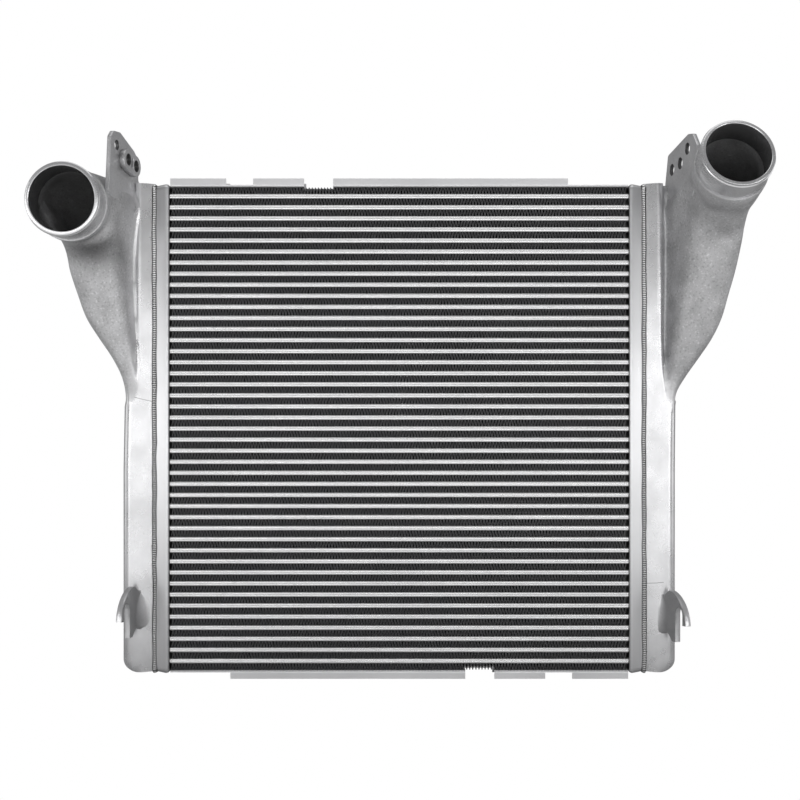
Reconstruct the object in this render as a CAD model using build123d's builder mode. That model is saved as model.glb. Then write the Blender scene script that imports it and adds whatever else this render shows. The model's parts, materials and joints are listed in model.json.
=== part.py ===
from build123d import *
import math
import os

os.makedirs("parts", exist_ok=True)

# Charge-air cooler of a heavy truck, seen from the engine: +X right, +Y away from the engine, +Z up.
# The origin is on the underside of the bottom side plate, at the middle of its web.
# Places on the two tanks are given as a distance out from the joint with the header, the same on both sides.

# Core
tube_count = 43
tube_height = 6.85
tube_wall = 0.6
tube_nose = 1.9
core_depth = 57.0
core_width = 676.2
fin_height = 9.48
fin_sheet = 0.35
fin_fold_count = 6
fin_set_back = 1.0
fin_end_gap = 1.0
turbulator_sheet = 0.3
turbulator_fold_count = 2
turbulator_gap = 0.05
tube_pitch = tube_height + fin_height
stack_height = tube_count * tube_pitch + fin_height

# Side plates, folded channels above and below the stack
plate_sheet = 3.0
plate_flange = 13.2
plate_bend = 4.0
plate_end_gap = 0.3
plate_tabs = [(-335.0, -255.5), (-215.5, -140.5), (-97.5, 249.0)]
plate_relief = (-140.5, -97.5)
plate_relief_depth = 34.0
middle = plate_sheet + stack_height / 2

# Headers, drafted trays that the tubes pass through
header_height = 724.0
header_depth = 70.0
header_length = 21.5
header_sheet = 3.0
header_draft = 4.0
header_bend = 3.5
header_corner = 8.0
tube_proud = 2.5
slot_gap = 0.1
header_face = core_width / 2
joint_face = header_face + header_length

# Tanks, one-piece aluminium castings
tank_wall = 5.5
tank_rim_wall = 5.0
tank_depth = 82.0
tank_bottom = 2.0
tank_top = 719.4
rim_slope = 9.5
rim_lean = 0.2
plenum_reach = 27.9
plenum_corner = 10.0
lower_reach = 46.7
lower_corner = 14.0
lower_top = 396.0
tank_end_corner = 18.0
cut_spare = 1.0
plenum_outer = joint_face + plenum_reach
lower_outer = joint_face + lower_reach

# Passage between a tank's plenum and its duct: depth and height from and to
throat_depth = (-11.0, 30.0)
throat_height = (388.0, 600.0)

# Hose ports
neck_radius = 52.7
land_radius = 50.8
bore_radius = 45.3
bead_radius = 52.1
bead_crest = 3.5
bead_rise = 1.2
bead_set_back = 4.0
rim_chamfer = 1.0
neck_length = 16.0
outer_facets = 3
inner_facets = 1
bore_lead = 6.0

# Upper ears with bolt holes
ear_sheet = 6.0
ear_hole_radius = 8.25
ear_small_hole_radius = 7.0
boss_height = 9.0
boss_radius = 15.0

# Lower hooks that drop over cross pins
hook_sheet = 8.8
hook_reach = 66.0
hook_slot_width = 20.0
hook_slot_drop = 26.5
hook_slot_arch = 5.0
hook_prong = 9.0
hook_root = 7.0
hook_crown = 20.0
hook_crown_radius = 52.0
hook_short_drop = 46.0
hook_long_drop = 72.5
hook_toe_drop = 64.0
hook_heel_drop = 60.0
hook_back_drop = 18.0
pad_size = 8.0
pad_proud = 0.5
pad_heights = (122.0, 128.5)

# Weld beads round the joints of headers and tanks
bead_width = 6.5
bead_proud = 2.3


def nose_section(height, depth, nose):
    """Flat section with a chamfered nose at the front and at the back, drawn in depth and height."""
    flat = depth / 2 - nose
    tip = height / 2 - nose
    with BuildSketch() as section:
        with BuildLine():
            Polyline(
                (-depth / 2, -tip), (-flat, -height / 2), (flat, -height / 2), (depth / 2, -tip),
                (depth / 2, tip), (flat, height / 2), (-flat, height / 2), (-depth / 2, tip),
                close=True,
            )
        make_face()
    return section.sketch


def folded_section(length, height, sheet, folds):
    """A sheet folded to and fro between two levels, drawn in length and height."""
    step = length / folds
    upper = []
    lower = []
    for fold in range(folds + 1):
        at = -length / 2 + fold * step
        crest = fold % 2 == 1
        upper.append((at, height / 2 if crest else -height / 2 + sheet))
        lower.append((at, height / 2 - sheet if crest else -height / 2))
    with BuildSketch() as section:
        with BuildLine():
            Polyline(*upper, *reversed(lower), close=True)
        make_face()
    return section.sketch


def level_of_tube(index):
    """Height of a tube's middle."""
    return plate_sheet + fin_height + tube_height / 2 + index * tube_pitch


across = Plane(origin=(0, 0, 0), x_dir=(0, 1, 0), z_dir=(1, 0, 0))

# Tubes: flat, hollow, open at both ends inside the tanks
tube_length = core_width + 2 * (header_sheet + tube_proud)
tube_outside = nose_section(tube_height, core_depth, tube_nose)
for index in range(tube_count):
    with BuildPart() as tube:
        with BuildSketch(across.offset(-tube_length / 2)):
            with Locations((0, level_of_tube(index))):
                add(tube_outside)
                Rectangle(core_depth - 2 * tube_nose, tube_height - 2 * tube_wall, mode=Mode.SUBTRACT)
        extrude(amount=tube_length)
    tube.part.label = f"tube_{index + 1:02d}"
    export_step(tube.part, f"parts/{tube.part.label}.step")

# Turbulators: one folded sheet inside each tube, along its whole length
turbulator_fold = folded_section(
    core_depth - 2 * tube_nose - 2 * turbulator_gap,
    tube_height - 2 * tube_wall - 2 * turbulator_gap,
    turbulator_sheet,
    turbulator_fold_count,
)
with BuildPart() as turbulators:
    with BuildSketch(across.offset(-core_width / 2)):
        with Locations(*[(0, level_of_tube(index)) for index in range(tube_count)]):
            add(turbulator_fold)
    extrude(amount=core_width)
turbulators.part.label = "turbulators"
export_step(turbulators.part, "parts/turbulators.step")

# Fins: one folded ribbon in every gap of the stack, and above and below it
fin_fold = folded_section(core_width - 2 * fin_end_gap, fin_height, fin_sheet, fin_fold_count)
fin_depth = core_depth - 2 * fin_set_back
fin_levels = [plate_sheet + fin_height / 2 + index * tube_pitch for index in range(tube_count + 1)]
with BuildPart() as fins:
    with BuildSketch(Plane.XZ.offset(-fin_depth / 2)):
        with Locations(*[(0, level) for level in fin_levels]):
            add(fin_fold)
    extrude(amount=fin_depth)
fins.part.label = "fins"
export_step(fins.part, "parts/fins.step")


def side_plate(turned):
    """Channel with its web on the stack, its flanges cut into tabs and one relief cut.

    The bottom plate is the top plate turned half a turn about the view direction.
    """
    length = core_width - 2 * plate_end_gap
    way = -1 if turned else 1
    web = middle + way * (stack_height / 2 + plate_sheet)
    with BuildPart() as plate:
        with BuildSketch(across.offset(-length / 2)) as profile:
            with Locations((0, web + way * (plate_flange / 2 - plate_sheet))):
                Rectangle(core_depth, plate_flange)
            with Locations((0, web + way * plate_flange / 2)):
                Rectangle(core_depth - 2 * plate_sheet, plate_flange, mode=Mode.SUBTRACT)
            inner_corners = profile.vertices().group_by(Axis.Y)[0 if way > 0 else -1]
            fillet(inner_corners, plate_bend)
        extrude(amount=length)
        edges = [-length / 2] + sorted(end * way for tab in plate_tabs for end in tab) + [length / 2]
        gaps = [(edges[i], edges[i + 1]) for i in range(0, len(edges), 2)]
        above = web + way * plate_flange / 2 + way * plate_bend * 0.25
        with BuildSketch(Plane.XZ.offset(-core_depth)):
            for start, end in gaps:
                if end - start > plate_sheet:
                    with Locations(((start + end) / 2, above)):
                        Rectangle(end - start, plate_flange)
        extrude(amount=2 * core_depth, mode=Mode.SUBTRACT)
        relief = sorted(end * way for end in plate_relief)
        with Locations(((relief[0] + relief[1]) / 2, -core_depth / 2, web)):
            Box(relief[1] - relief[0], 2 * plate_relief_depth, 2 * plate_flange, mode=Mode.SUBTRACT)
    return plate.part


for label, turned in (("top_side_plate", False), ("bottom_side_plate", True)):
    plate = side_plate(turned)
    plate.label = label
    export_step(plate, f"parts/{label}.step")


def side_frame(side, out):
    """Plane across the core at a distance out, with depth along X and height along Y, facing outwards."""
    return Plane(origin=(side * out, 0, middle), x_dir=(0, side, 0), z_dir=(side, 0, 0))


draft_angle = math.degrees(math.atan(header_draft / header_length))


def cornered_rectangle(depth, height, corner):
    """Rectangle with its four corners cut off."""
    with BuildSketch() as outline:
        Rectangle(depth, height)
        chamfer(outline.vertices(), corner)
    return outline.sketch


def header_body(side):
    """Filled outer shape of a header, drafted towards the joint."""
    with BuildPart() as body:
        with BuildSketch(side_frame(side, header_face)):
            add(cornered_rectangle(header_depth, header_height, header_corner))
        extrude(amount=header_length, taper=draft_angle)
    return body.part


def header(side):
    """Tray with drafted walls, a folded edge and one slot for each tube."""
    slot = nose_section(tube_height + 2 * slot_gap, core_depth + 2 * slot_gap, tube_nose + slot_gap / 2)
    with BuildPart() as tray:
        add(header_body(side))
        face = tray.faces().sort_by(Axis.X)[0 if side > 0 else -1]
        chamfer(face.edges(), header_bend)
        inner_depth = header_depth - 2 * header_sheet
        inner_height = header_height - 2 * header_sheet
        with BuildSketch(side_frame(side, header_face + header_sheet)):
            add(cornered_rectangle(inner_depth, inner_height, header_corner - header_sheet))
        extrude(amount=header_length, taper=draft_angle, mode=Mode.SUBTRACT)
        with BuildSketch(side_frame(side, header_face)):
            with Locations(*[(0, level_of_tube(index) - middle) for index in range(tube_count)]):
                add(slot)
        extrude(amount=header_sheet, mode=Mode.SUBTRACT)
    return tray.part


for label, side in (("left_header", -1), ("right_header", 1)):
    tray = header(side)
    tray.label = label
    export_step(tray, f"parts/{label}.step")

rim_depth = header_depth - 2 * header_draft
rim_height = header_height - 2 * header_draft


def box_plan(side, outer, corner, inset):
    """Plan of a tank's box: a drafted rim at the joint, flat front and back, and round outer corners."""
    rim = rim_depth / 2 - inset * tank_rim_wall / tank_wall
    half = tank_depth / 2 - inset
    slope = joint_face + rim_slope + inset * rim_lean
    front = [(side * (joint_face - inset), -rim), (side * slope, -half), (side * (outer - inset), -half)]
    if inset:
        front.insert(1, (side * (joint_face + inset * rim_lean), -rim))
    back = [(out, -depth) for out, depth in reversed(front)]
    with BuildSketch() as plan:
        with BuildLine():
            Polyline(*front, *back, close=True)
        make_face()
        if inset == 0:
            far_corners = plan.vertices().group_by(Axis.X)[-1 if side > 0 else 0]
            fillet(far_corners, corner)
    return plan.sketch


def box_solid(side, outer, corner, inset, bottom, top):
    """Upright box of a tank, or with an inset its inside."""
    with BuildPart() as box:
        with BuildSketch(Plane.XY.offset(bottom + inset)):
            add(box_plan(side, outer, corner, inset))
        extrude(amount=top - bottom - 2 * inset)
    return box.part


# Each tank has its port, its ear and its hook in places of their own.
# Port: out, depth and height of its mouth, tilt from upright, turn outwards, length of the land.
# Bend: depth and height of the middle of the duct's bend.
# Duct: height or tilt, near and far side from the bend's middle, outer side near and far, corner.
tanks = {
    "left": {
        "side": -1,
        "port": (104.8, -180.0, 678.1, 90.0, 0.0, 57.0),
        "bend": (-123.0, 588.5),
        "rise": [
            (382.0, 44.4, 8.0),
            (412.0, 41.4, 8.0),
            (434.0, 46.4, 9.0),
            (462.0, 60.9, 10.0),
            (490.0, 78.9, 12.0),
            (520.0, 96.9, 14.0),
            (552.0, 107.9, 16.0),
        ],
        "turns": [
            (0.0, 37.4, 164.0, 118.9, 118.9, 18.0),
            (22.0, 37.0, 161.0, 122.4, 132.4, 23.0),
            (45.0, 37.0, 155.0, 128.4, 146.4, 32.0),
            (68.0, 37.0, 148.0, 140.4, 155.4, 42.0),
        ],
        "throat_out": (11.4, 32.4),
        "ear": (25.6, -25.0, 15.0),
        "ear_outline": [
            (-14, 612), (-14, 715), (0, 724), (0, 745), (4, 758), (14, 766), (61, 786), (82, 785), (91, 776),
            (98, 695), (50, 640), (43, 612),
        ],
        "ear_holes": [
            ((52, 748), ear_hole_radius),
            ((26, 742), ear_hole_radius),
            ((72, 766), ear_small_hole_radius),
        ],
        "boss": ((39.0, 745.0), (52.0, 748.0)),
        "hook": (19.8, -41.0, 14.0, 130.0),
    },
    "right": {
        "side": 1,
        "port": (102.5, -203.0, 738.1, 68.5, 3.5, 40.0),
        "bend": (-176.7, 628.2),
        "rise": [
            (382.0, 44.4, 8.0),
            (412.0, 48.4, 8.0),
            (434.0, 60.9, 9.0),
            (462.0, 79.9, 10.0),
            (490.0, 97.9, 12.0),
            (520.0, 111.4, 14.0),
            (552.0, 119.4, 16.0),
            (588.0, 128.4, 17.0),
        ],
        "turns": [
            (0.0, 81.5, 217.0, 134.9, 134.9, 18.0),
            (18.0, 66.0, 184.0, 136.4, 142.4, 24.0),
            (36.0, 54.0, 153.0, 139.4, 148.4, 32.0),
            (53.0, 45.0, 142.0, 144.4, 152.4, 42.0),
        ],
        "throat_out": (11.4, 42.4),
        "ear": (37.4, -25.0, 12.0),
        "ear_outline": [
            (-12, 640), (-12, 716), (0, 762), (75, 781), (91, 779), (107, 760), (112, 722), (60, 652),
            (50, 640),
        ],
        "ear_holes": [
            ((72.5, 760.5), ear_hole_radius),
            ((46, 743.7), ear_hole_radius),
            ((15.3, 738.7), ear_hole_radius),
        ],
        "boss": None,
        "hook": (25.9, -41.0, 20.0, 124.0),
    },
}
duct_front_at_joint = -40.0
duct_front_lean = 0.243
duct_front_foot = 401.0
duct_back_step = 0.5
duct_back = tank_depth / 2 - duct_back_step


def port_plane(data):
    """Plane at the mouth of a port, facing out of it, with X outwards from the core."""
    side = data["side"]
    out, depth, height, tilt, turn, land = data["port"]
    lean = math.radians(tilt)
    swing = math.radians(turn)
    flow = Vector(
        side * math.cos(lean - math.pi / 2) * math.sin(swing),
        -math.sin(lean) * math.cos(swing),
        math.cos(lean),
    )
    outwards = Vector(side, 0, 0) - flow * (side * flow.X)
    return Plane(origin=(side * (joint_face + out), depth, height), x_dir=outwards, z_dir=flow)


def wall_out(data, depth):
    """Distance out of the duct's wall next to the core, which carries on in the ear."""
    out, start, swing = data["ear"]
    return joint_face + out + (start - depth) * math.tan(math.radians(swing))


def bend_ring(data, tilt, height, near, far, outer_near, outer_far, corner, inset, steps):
    """Points round the duct on a plane through the middle of its bend, with rounded corners."""
    side = data["side"]
    lean = math.radians(tilt)
    depth = data["bend"][0]
    near += inset
    far -= inset
    inner_near = wall_out(data, depth + near * math.cos(lean)) + inset
    inner_far = wall_out(data, depth + far * math.cos(lean)) + inset
    outer_near += joint_face - inset
    outer_far += joint_face - inset
    corner = min(max(corner - inset, corner / 3), 0.45 * (outer_near - inner_near))
    centres = [
        (inner_near + corner, near + corner),
        (outer_near - corner, near + corner),
        (outer_far - corner, far - corner),
        (inner_far + corner, far - corner),
    ]
    points = []
    for quarter, (across_duct, away) in enumerate(centres):
        for step in range(steps + 1):
            angle = math.radians(180 + 90 * quarter + 90 * step / steps)
            u = across_duct + corner * math.cos(angle)
            r = away + corner * math.sin(angle)
            points.append(Vector(side * u, depth + r * math.cos(lean), height + r * math.sin(lean)))
    return points


def round_ring(plane, radius, steps):
    """Points round the neck, in the same order as round the duct."""
    count = 4 * (steps + 1)
    up = plane.y_dir * math.copysign(1.0, plane.y_dir.Z)
    points = []
    for place in range(count):
        angle = 2 * math.pi * (place - steps / 2) / count + math.pi * 1.25
        reach = plane.x_dir * (radius * math.cos(angle)) + up * (radius * math.sin(angle))
        points.append(plane.origin + reach)
    return points


def duct(data, inset, steps):
    """Duct from the box up to the port's shoulder as a skin of flat facets.

    With an inset it is the inside of the duct.
    """
    depth, height = data["bend"]
    rings = []
    for level, outer, corner in data["rise"][2::2] if inset else data["rise"]:
        front = min(duct_front_at_joint, duct_front_at_joint - duct_front_lean * (level - duct_front_foot))
        near = front - depth
        rings.append(bend_ring(data, 0.0, level, near, duct_back - depth, outer, outer, corner, inset, steps))
    for tilt, near, far, outer_near, outer_far, corner in data["turns"]:
        rings.append(bend_ring(data, tilt, height, near, far, outer_near, outer_far, corner, inset, steps))
    mouth = port_plane(data)
    shoulder = data["port"][5]
    radius = bore_radius if inset else neck_radius
    for back in (shoulder + neck_length, shoulder):
        rings.append(round_ring(mouth.offset(-back), radius, steps))
    count = len(rings[0])
    if data["side"] < 0:
        rings = [list(reversed(ring)) for ring in rings]
    faces = [Face(Wire.make_polygon(list(reversed(rings[0])))), Face(Wire.make_polygon(rings[-1]))]
    for low, high in zip(rings, rings[1:]):
        for i in range(count):
            j = (i + 1) % count
            faces.append(Face(Wire.make_polygon([low[i], low[j], high[j]])))
            faces.append(Face(Wire.make_polygon([low[i], high[j], high[i]])))
    return Solid(Shell(faces))


def plate_frame(side, out, depth, swing):
    """Upright plane of an ear or a hook: X runs towards the engine, swung outwards, and Y is height."""
    along = Vector(side * math.sin(math.radians(swing)), -math.cos(math.radians(swing)), 0)
    origin = (side * (joint_face + out), depth, 0)
    return Plane(origin=origin, x_dir=along, z_dir=along.cross(Vector(0, 0, 1)))


def hook_plate(data):
    """Hook with a slot that opens downwards between a short and a long prong."""
    side = data["side"]
    out, depth, swing, top = data["hook"]
    slot_near = hook_reach - hook_prong
    slot_far = slot_near - hook_slot_width
    slot_shoulder = top - hook_slot_drop - hook_slot_arch
    short_end = top - hook_short_drop
    long_end = top - hook_long_drop
    with BuildPart() as plate:
        with BuildSketch(plate_frame(side, out, depth, swing)):
            with BuildLine():
                RadiusArc((hook_crown, top), (hook_reach, short_end), hook_crown_radius)
                Polyline((hook_reach, short_end), (slot_near, short_end), (slot_near, slot_shoulder))
                ThreePointArc(
                    (slot_near, slot_shoulder),
                    ((slot_near + slot_far) / 2, slot_shoulder + 2 * hook_slot_arch),
                    (slot_far, slot_shoulder),
                )
                Polyline(
                    (slot_far, slot_shoulder),
                    (slot_far, long_end),
                    (slot_far - hook_prong, long_end),
                    (slot_far - 2 * hook_prong, top - hook_toe_drop),
                    (hook_crown / 2, top - hook_heel_drop),
                    (-hook_root, top - hook_toe_drop),
                    (-hook_root, top - hook_back_drop),
                    (hook_crown, top),
                )
            make_face()
        extrude(amount=-side * hook_sheet)
    return plate.part


def ear_plate(data):
    """Ear that carries on the duct's wall next to the core, with its bolt holes and any raised boss."""
    side = data["side"]
    frame = plate_frame(side, *data["ear"])
    with BuildPart() as plate:
        with BuildSketch(frame):
            with BuildLine():
                Polyline(*data["ear_outline"], close=True)
            make_face()
        extrude(amount=-side * ear_sheet)
        if data["boss"]:
            with BuildSketch(frame):
                SlotCenterPoint(*data["boss"], 2 * boss_radius)
            extrude(amount=side * boss_height)
        with BuildSketch(frame.offset(side * boss_height)):
            for place, radius in data["ear_holes"]:
                with Locations(place):
                    Circle(radius)
        extrude(amount=-side * (boss_height + ear_sheet), mode=Mode.SUBTRACT)
    return plate.part


def port_end(data):
    """Machined end of a port: shoulder, land for the hose, bead and tapered rim."""
    mouth = port_plane(data)
    shoulder = -data["port"][5]
    bead_start = -bead_set_back - bead_crest
    with BuildPart() as end:
        with BuildSketch(Plane(origin=mouth.origin, x_dir=mouth.x_dir, z_dir=mouth.x_dir.cross(mouth.z_dir))):
            with BuildLine():
                Polyline(
                    (0, shoulder),
                    (land_radius, shoulder),
                    (land_radius, bead_start - bead_rise),
                    (bead_radius, bead_start),
                    (bead_radius, -bead_set_back),
                    (land_radius - rim_chamfer, 0),
                    (0, 0),
                    close=True,
                )
            make_face()
        revolve(axis=Axis(mouth.origin, mouth.z_dir))
    return end.part


def web_between(data):
    """Solid web at the back of the valley between the plenum and the duct."""
    side = data["side"]
    start = data["ear"][1]
    end = throat_depth[1]
    inner = plenum_outer - 3 * tank_wall
    with BuildPart() as web:
        with BuildSketch(Plane.XY.offset(lower_top - tank_wall)):
            with BuildLine():
                Polyline(
                    (side * inner, start),
                    (side * (wall_out(data, start) + tank_wall), start),
                    (side * (wall_out(data, end) + tank_wall), end),
                    (side * inner, end),
                    close=True,
                )
            make_face()
        extrude(amount=tank_top - lower_top + tank_wall)
    return web.part


def block(side, out, depth, height):
    """Box between two distances out, two depths and two heights."""
    with BuildPart() as box:
        with Locations((side * sum(out) / 2, sum(depth) / 2, sum(height) / 2)):
            Box(out[1] - out[0], depth[1] - depth[0], height[1] - height[0])
    return box.part


def outer_boxes(side):
    """The two upright boxes of a tank, with its bottom end cut at a slant."""
    with BuildPart() as boxes:
        add(box_solid(side, plenum_outer, plenum_corner, 0.0, tank_bottom, tank_top))
        add(box_solid(side, lower_outer, lower_corner, 0.0, tank_bottom, lower_top))
        with BuildSketch(Plane.XZ.offset(-tank_depth)):
            with BuildLine():
                Polyline(
                    (side * (lower_outer - tank_end_corner), tank_bottom - cut_spare),
                    (side * (lower_outer + cut_spare), tank_bottom - cut_spare),
                    (side * (lower_outer + cut_spare), tank_bottom + tank_end_corner),
                    close=True,
                )
            make_face()
        extrude(amount=2 * tank_depth, mode=Mode.SUBTRACT)
    return boxes.part


def tank(data):
    """Cast tank: plenum, duct, port, ear and hook in one piece, then its inside is taken out."""
    side = data["side"]
    with BuildPart() as body:
        add(outer_boxes(side))
        add(web_between(data))
        add(duct(data, 0.0, outer_facets))
        add(port_end(data))
        add(ear_plate(data))
        add(hook_plate(data))
        pad_out = (lower_outer + pad_proud - pad_size, lower_outer + pad_proud)
        pad_depth = (-tank_depth / 2 - pad_proud, -tank_depth / 2 - pad_proud + pad_size)
        add(block(side, pad_out, pad_depth, pad_heights))
        plenum_inside = box_solid(side, plenum_outer, plenum_corner, tank_wall, tank_bottom, tank_top)
        add(plenum_inside, mode=Mode.SUBTRACT)
        lower_floor = tank_bottom + tank_end_corner
        lower_inside = box_solid(side, lower_outer, lower_corner, tank_wall, lower_floor, lower_top)
        add(lower_inside, mode=Mode.SUBTRACT)
        throat_out = [joint_face + out for out in data["throat_out"]]
        add(block(side, throat_out, throat_depth, throat_height), mode=Mode.SUBTRACT)
        add(duct(data, tank_wall, inner_facets), mode=Mode.SUBTRACT)
        land = data["port"][5]
        with BuildSketch(port_plane(data).offset(-land - bore_lead)):
            Circle(bore_radius)
        extrude(amount=land + bore_lead, mode=Mode.SUBTRACT)
    return body.part


for name, data in tanks.items():
    casting = tank(data)
    casting.label = f"{name}_tank"
    export_step(casting, f"parts/{name}_tank.step")

    # Weld bead in the valley between the header and the tank
    with BuildPart() as bead:
        with BuildSketch(side_frame(data["side"], joint_face - bead_width / 2)):
            add(cornered_rectangle(rim_depth + 2 * bead_proud, rim_height + 2 * bead_proud, bead_width))
        extrude(amount=bead_width)
        add(header_body(data["side"]), mode=Mode.SUBTRACT)
        add(outer_boxes(data["side"]), mode=Mode.SUBTRACT)
    bead.part.label = f"{name}_weld_bead"
    export_step(bead.part, f"parts/{name}_weld_bead.step")
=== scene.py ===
"""Charge-air cooler: the look of every piece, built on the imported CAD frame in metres."""

import json
import logging
import math
from dataclasses import dataclass, field
from enum import Enum

import bpy
import numpy as np
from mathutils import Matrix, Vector

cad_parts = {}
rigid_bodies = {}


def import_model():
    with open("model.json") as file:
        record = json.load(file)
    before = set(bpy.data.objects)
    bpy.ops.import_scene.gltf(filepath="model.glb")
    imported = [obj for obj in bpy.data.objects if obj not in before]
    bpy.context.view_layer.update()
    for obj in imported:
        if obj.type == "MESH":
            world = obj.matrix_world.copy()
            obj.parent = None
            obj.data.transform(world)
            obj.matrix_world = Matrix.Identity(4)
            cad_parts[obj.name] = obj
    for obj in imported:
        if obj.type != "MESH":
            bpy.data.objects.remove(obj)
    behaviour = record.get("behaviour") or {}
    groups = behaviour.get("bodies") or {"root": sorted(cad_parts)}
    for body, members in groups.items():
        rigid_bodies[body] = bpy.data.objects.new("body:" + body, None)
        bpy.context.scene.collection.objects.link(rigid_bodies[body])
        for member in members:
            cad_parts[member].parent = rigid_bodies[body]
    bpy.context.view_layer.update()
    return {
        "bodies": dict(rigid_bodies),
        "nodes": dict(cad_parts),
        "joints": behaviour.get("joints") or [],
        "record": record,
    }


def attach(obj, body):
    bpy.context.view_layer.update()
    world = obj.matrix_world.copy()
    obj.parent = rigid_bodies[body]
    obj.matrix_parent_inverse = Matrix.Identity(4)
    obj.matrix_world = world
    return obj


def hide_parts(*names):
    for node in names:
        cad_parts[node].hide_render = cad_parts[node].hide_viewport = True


logging.basicConfig(level=logging.INFO, format="%(name)s: %(message)s")
log = logging.getLogger("cooler")

MM = 0.001
BEVEL = 0.7
UP = np.array([0.0, 0.0, 1.0])
Colour = tuple[float, float, float]
Socket = bpy.types.NodeSocket
Values = np.ndarray | float

# Parting line, in metres: distance out at which its level counts, half its width, and the middle and half
# width of the band beside the header and of the tank's front
SEAM_START = 0.36
SEAM_HALF = 0.0005
SEAM_RIM = (0.373, 0.015)
SEAM_FRONT = (-0.038, 0.008)


class Side(Enum):
    """The two ends of the core, with the sign of their X."""

    LEFT = -1
    RIGHT = 1

    @property
    def label(self) -> str:
        """Name of this side as used in the names of CAD nodes."""
        return self.name.lower()


# Meshes


@dataclass
class Shell:
    """A bare mesh: points in millimetres and faces that index them.

    Args:
        points: Array of n rows and 3 columns.
        faces: List of arrays of face corners, one array for each corner count.
        marks: Named values from 0 to 1 for each point, which finishes read. A missing mark counts as 0.
    """

    points: np.ndarray
    faces: list[np.ndarray]
    marks: dict[str, np.ndarray] = field(default_factory=dict)

    def joined(self, *others: "Shell") -> "Shell":
        """Puts other shells into one mesh with this one.

        Args:
            others: Shells whose faces are kept as they are.

        Returns:
            One shell with all points and faces.
        """
        shells = (self, *others)
        starts = np.cumsum([0] + [len(shell.points) for shell in shells])
        faces = [block + start for shell, start in zip(shells, starts) for block in shell.faces]
        names = sorted({name for shell in shells for name in shell.marks})
        marks = {
            name: np.concatenate([shell.marks.get(name, np.zeros(len(shell.points))) for shell in shells])
            for name in names
        }
        return Shell(np.vstack([shell.points for shell in shells]), faces, marks)

    def marked(self, **values: np.ndarray | float) -> "Shell":
        """The same shell with marks.

        Args:
            values: For each mark, one value or an array with one a point.

        Returns:
            A shell that shares points and faces with this one.
        """
        marks = {name: np.broadcast_to(value, len(self.points)) for name, value in values.items()}
        return Shell(self.points, self.faces, {**self.marks, **marks})


def grid_faces(rows: int, columns: int, wrap: bool) -> np.ndarray:
    """Quads of a grid of points that is stored row by row.

    Args:
        rows: Number of rows of points.
        columns: Number of points in a row.
        wrap: True where the last column meets the first.

    Returns:
        Array with four corners a row. Corner order follows the row first and then the next row.
    """
    across = np.arange(columns if wrap else columns - 1)
    after = (across + 1) % columns
    start = np.arange(rows - 1)[:, None] * columns
    following = start + columns
    corners = [start + across, start + after, following + after, following + across]
    return np.stack(corners, axis=-1).reshape(-1, 4)


def tube_shell(rings: np.ndarray, cap_first: bool = True, cap_last: bool = True) -> Shell:
    """Closed skin over rings of points, with flat ends where asked.

    Args:
        rings: Array of rows of ring points, each of 3 numbers.
        cap_first: Closes the first ring.
        cap_last: Closes the last ring.

    Returns:
        The skin as a shell.
    """
    rows, columns = rings.shape[:2]
    faces = [grid_faces(rows, columns, True)]
    if cap_first:
        faces.append(np.arange(columns)[::-1][None, :])
    if cap_last:
        faces.append((rows - 1) * columns + np.arange(columns)[None, :])
    return Shell(rings.reshape(-1, 3), faces)


def sheet_shell(rows: np.ndarray) -> Shell:
    """Open sheet over rows of points.

    Args:
        rows: Array of rows of points, each of 3 numbers.

    Returns:
        The sheet as a shell.
    """
    return Shell(rows.reshape(-1, 3), [grid_faces(*rows.shape[:2], False)])


def spread(x: Values, y: Values, z: Values) -> np.ndarray:
    """Points in space from three coordinates that are broadcast against each other."""
    return np.stack(np.broadcast_arrays(x, y, z), axis=-1)


def risen(value: np.ndarray, start: float, reach: float) -> np.ndarray:
    """Share from 0 to 1 by which a value has passed a start, over a reach."""
    return np.clip((value - start) / reach, 0, 1)


def make_mesh(name: str, shell: Shell, smooth: bool = True) -> bpy.types.Mesh:
    """Writes a shell into a new Blender mesh, in metres.

    Args:
        name: Name of the mesh.
        shell: Points in millimetres and faces.
        smooth: Smooth shading, or flat.

    Returns:
        The new mesh.
    """
    mesh = bpy.data.meshes.new(name)
    corners = np.concatenate([block.ravel() for block in shell.faces]).astype(np.int32)
    counts = np.concatenate([np.full(len(block), block.shape[1]) for block in shell.faces]).astype(np.int32)
    starts = np.concatenate([[0], np.cumsum(counts)[:-1]]).astype(np.int32)
    mesh.vertices.add(len(shell.points))
    mesh.vertices.foreach_set("co", (shell.points * MM).astype(np.float32).ravel())
    mesh.loops.add(len(corners))
    mesh.loops.foreach_set("vertex_index", corners)
    mesh.polygons.add(len(counts))
    mesh.polygons.foreach_set("loop_start", starts)
    mesh.polygons.foreach_set("use_smooth", np.full(len(counts), smooth))
    for label, values in shell.marks.items():
        layer = mesh.attributes.new(label, "FLOAT", "POINT")
        layer.data.foreach_set("value", np.asarray(values, np.float32))
    mesh.update(calc_edges=True)
    mesh.validate()
    return mesh


def shell_of(mesh: bpy.types.Mesh) -> Shell:
    """Reads a Blender mesh back as a shell.

    Args:
        mesh: Mesh in metres.

    Returns:
        Shell in millimetres, its faces grouped by corner count.
    """
    points = np.empty(len(mesh.vertices) * 3, np.float32)
    mesh.vertices.foreach_get("co", points)
    corners = np.empty(len(mesh.loops), np.int32)
    mesh.loops.foreach_get("vertex_index", corners)
    starts = np.empty(len(mesh.polygons), np.int32)
    mesh.polygons.foreach_get("loop_start", starts)
    counts = np.diff(np.append(starts, len(corners)))
    faces = []
    for count in np.unique(counts):
        first = starts[counts == count]
        faces.append(corners[first[:, None] + np.arange(count)])
    return Shell(points.reshape(-1, 3).astype(float) / MM, faces)


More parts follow.
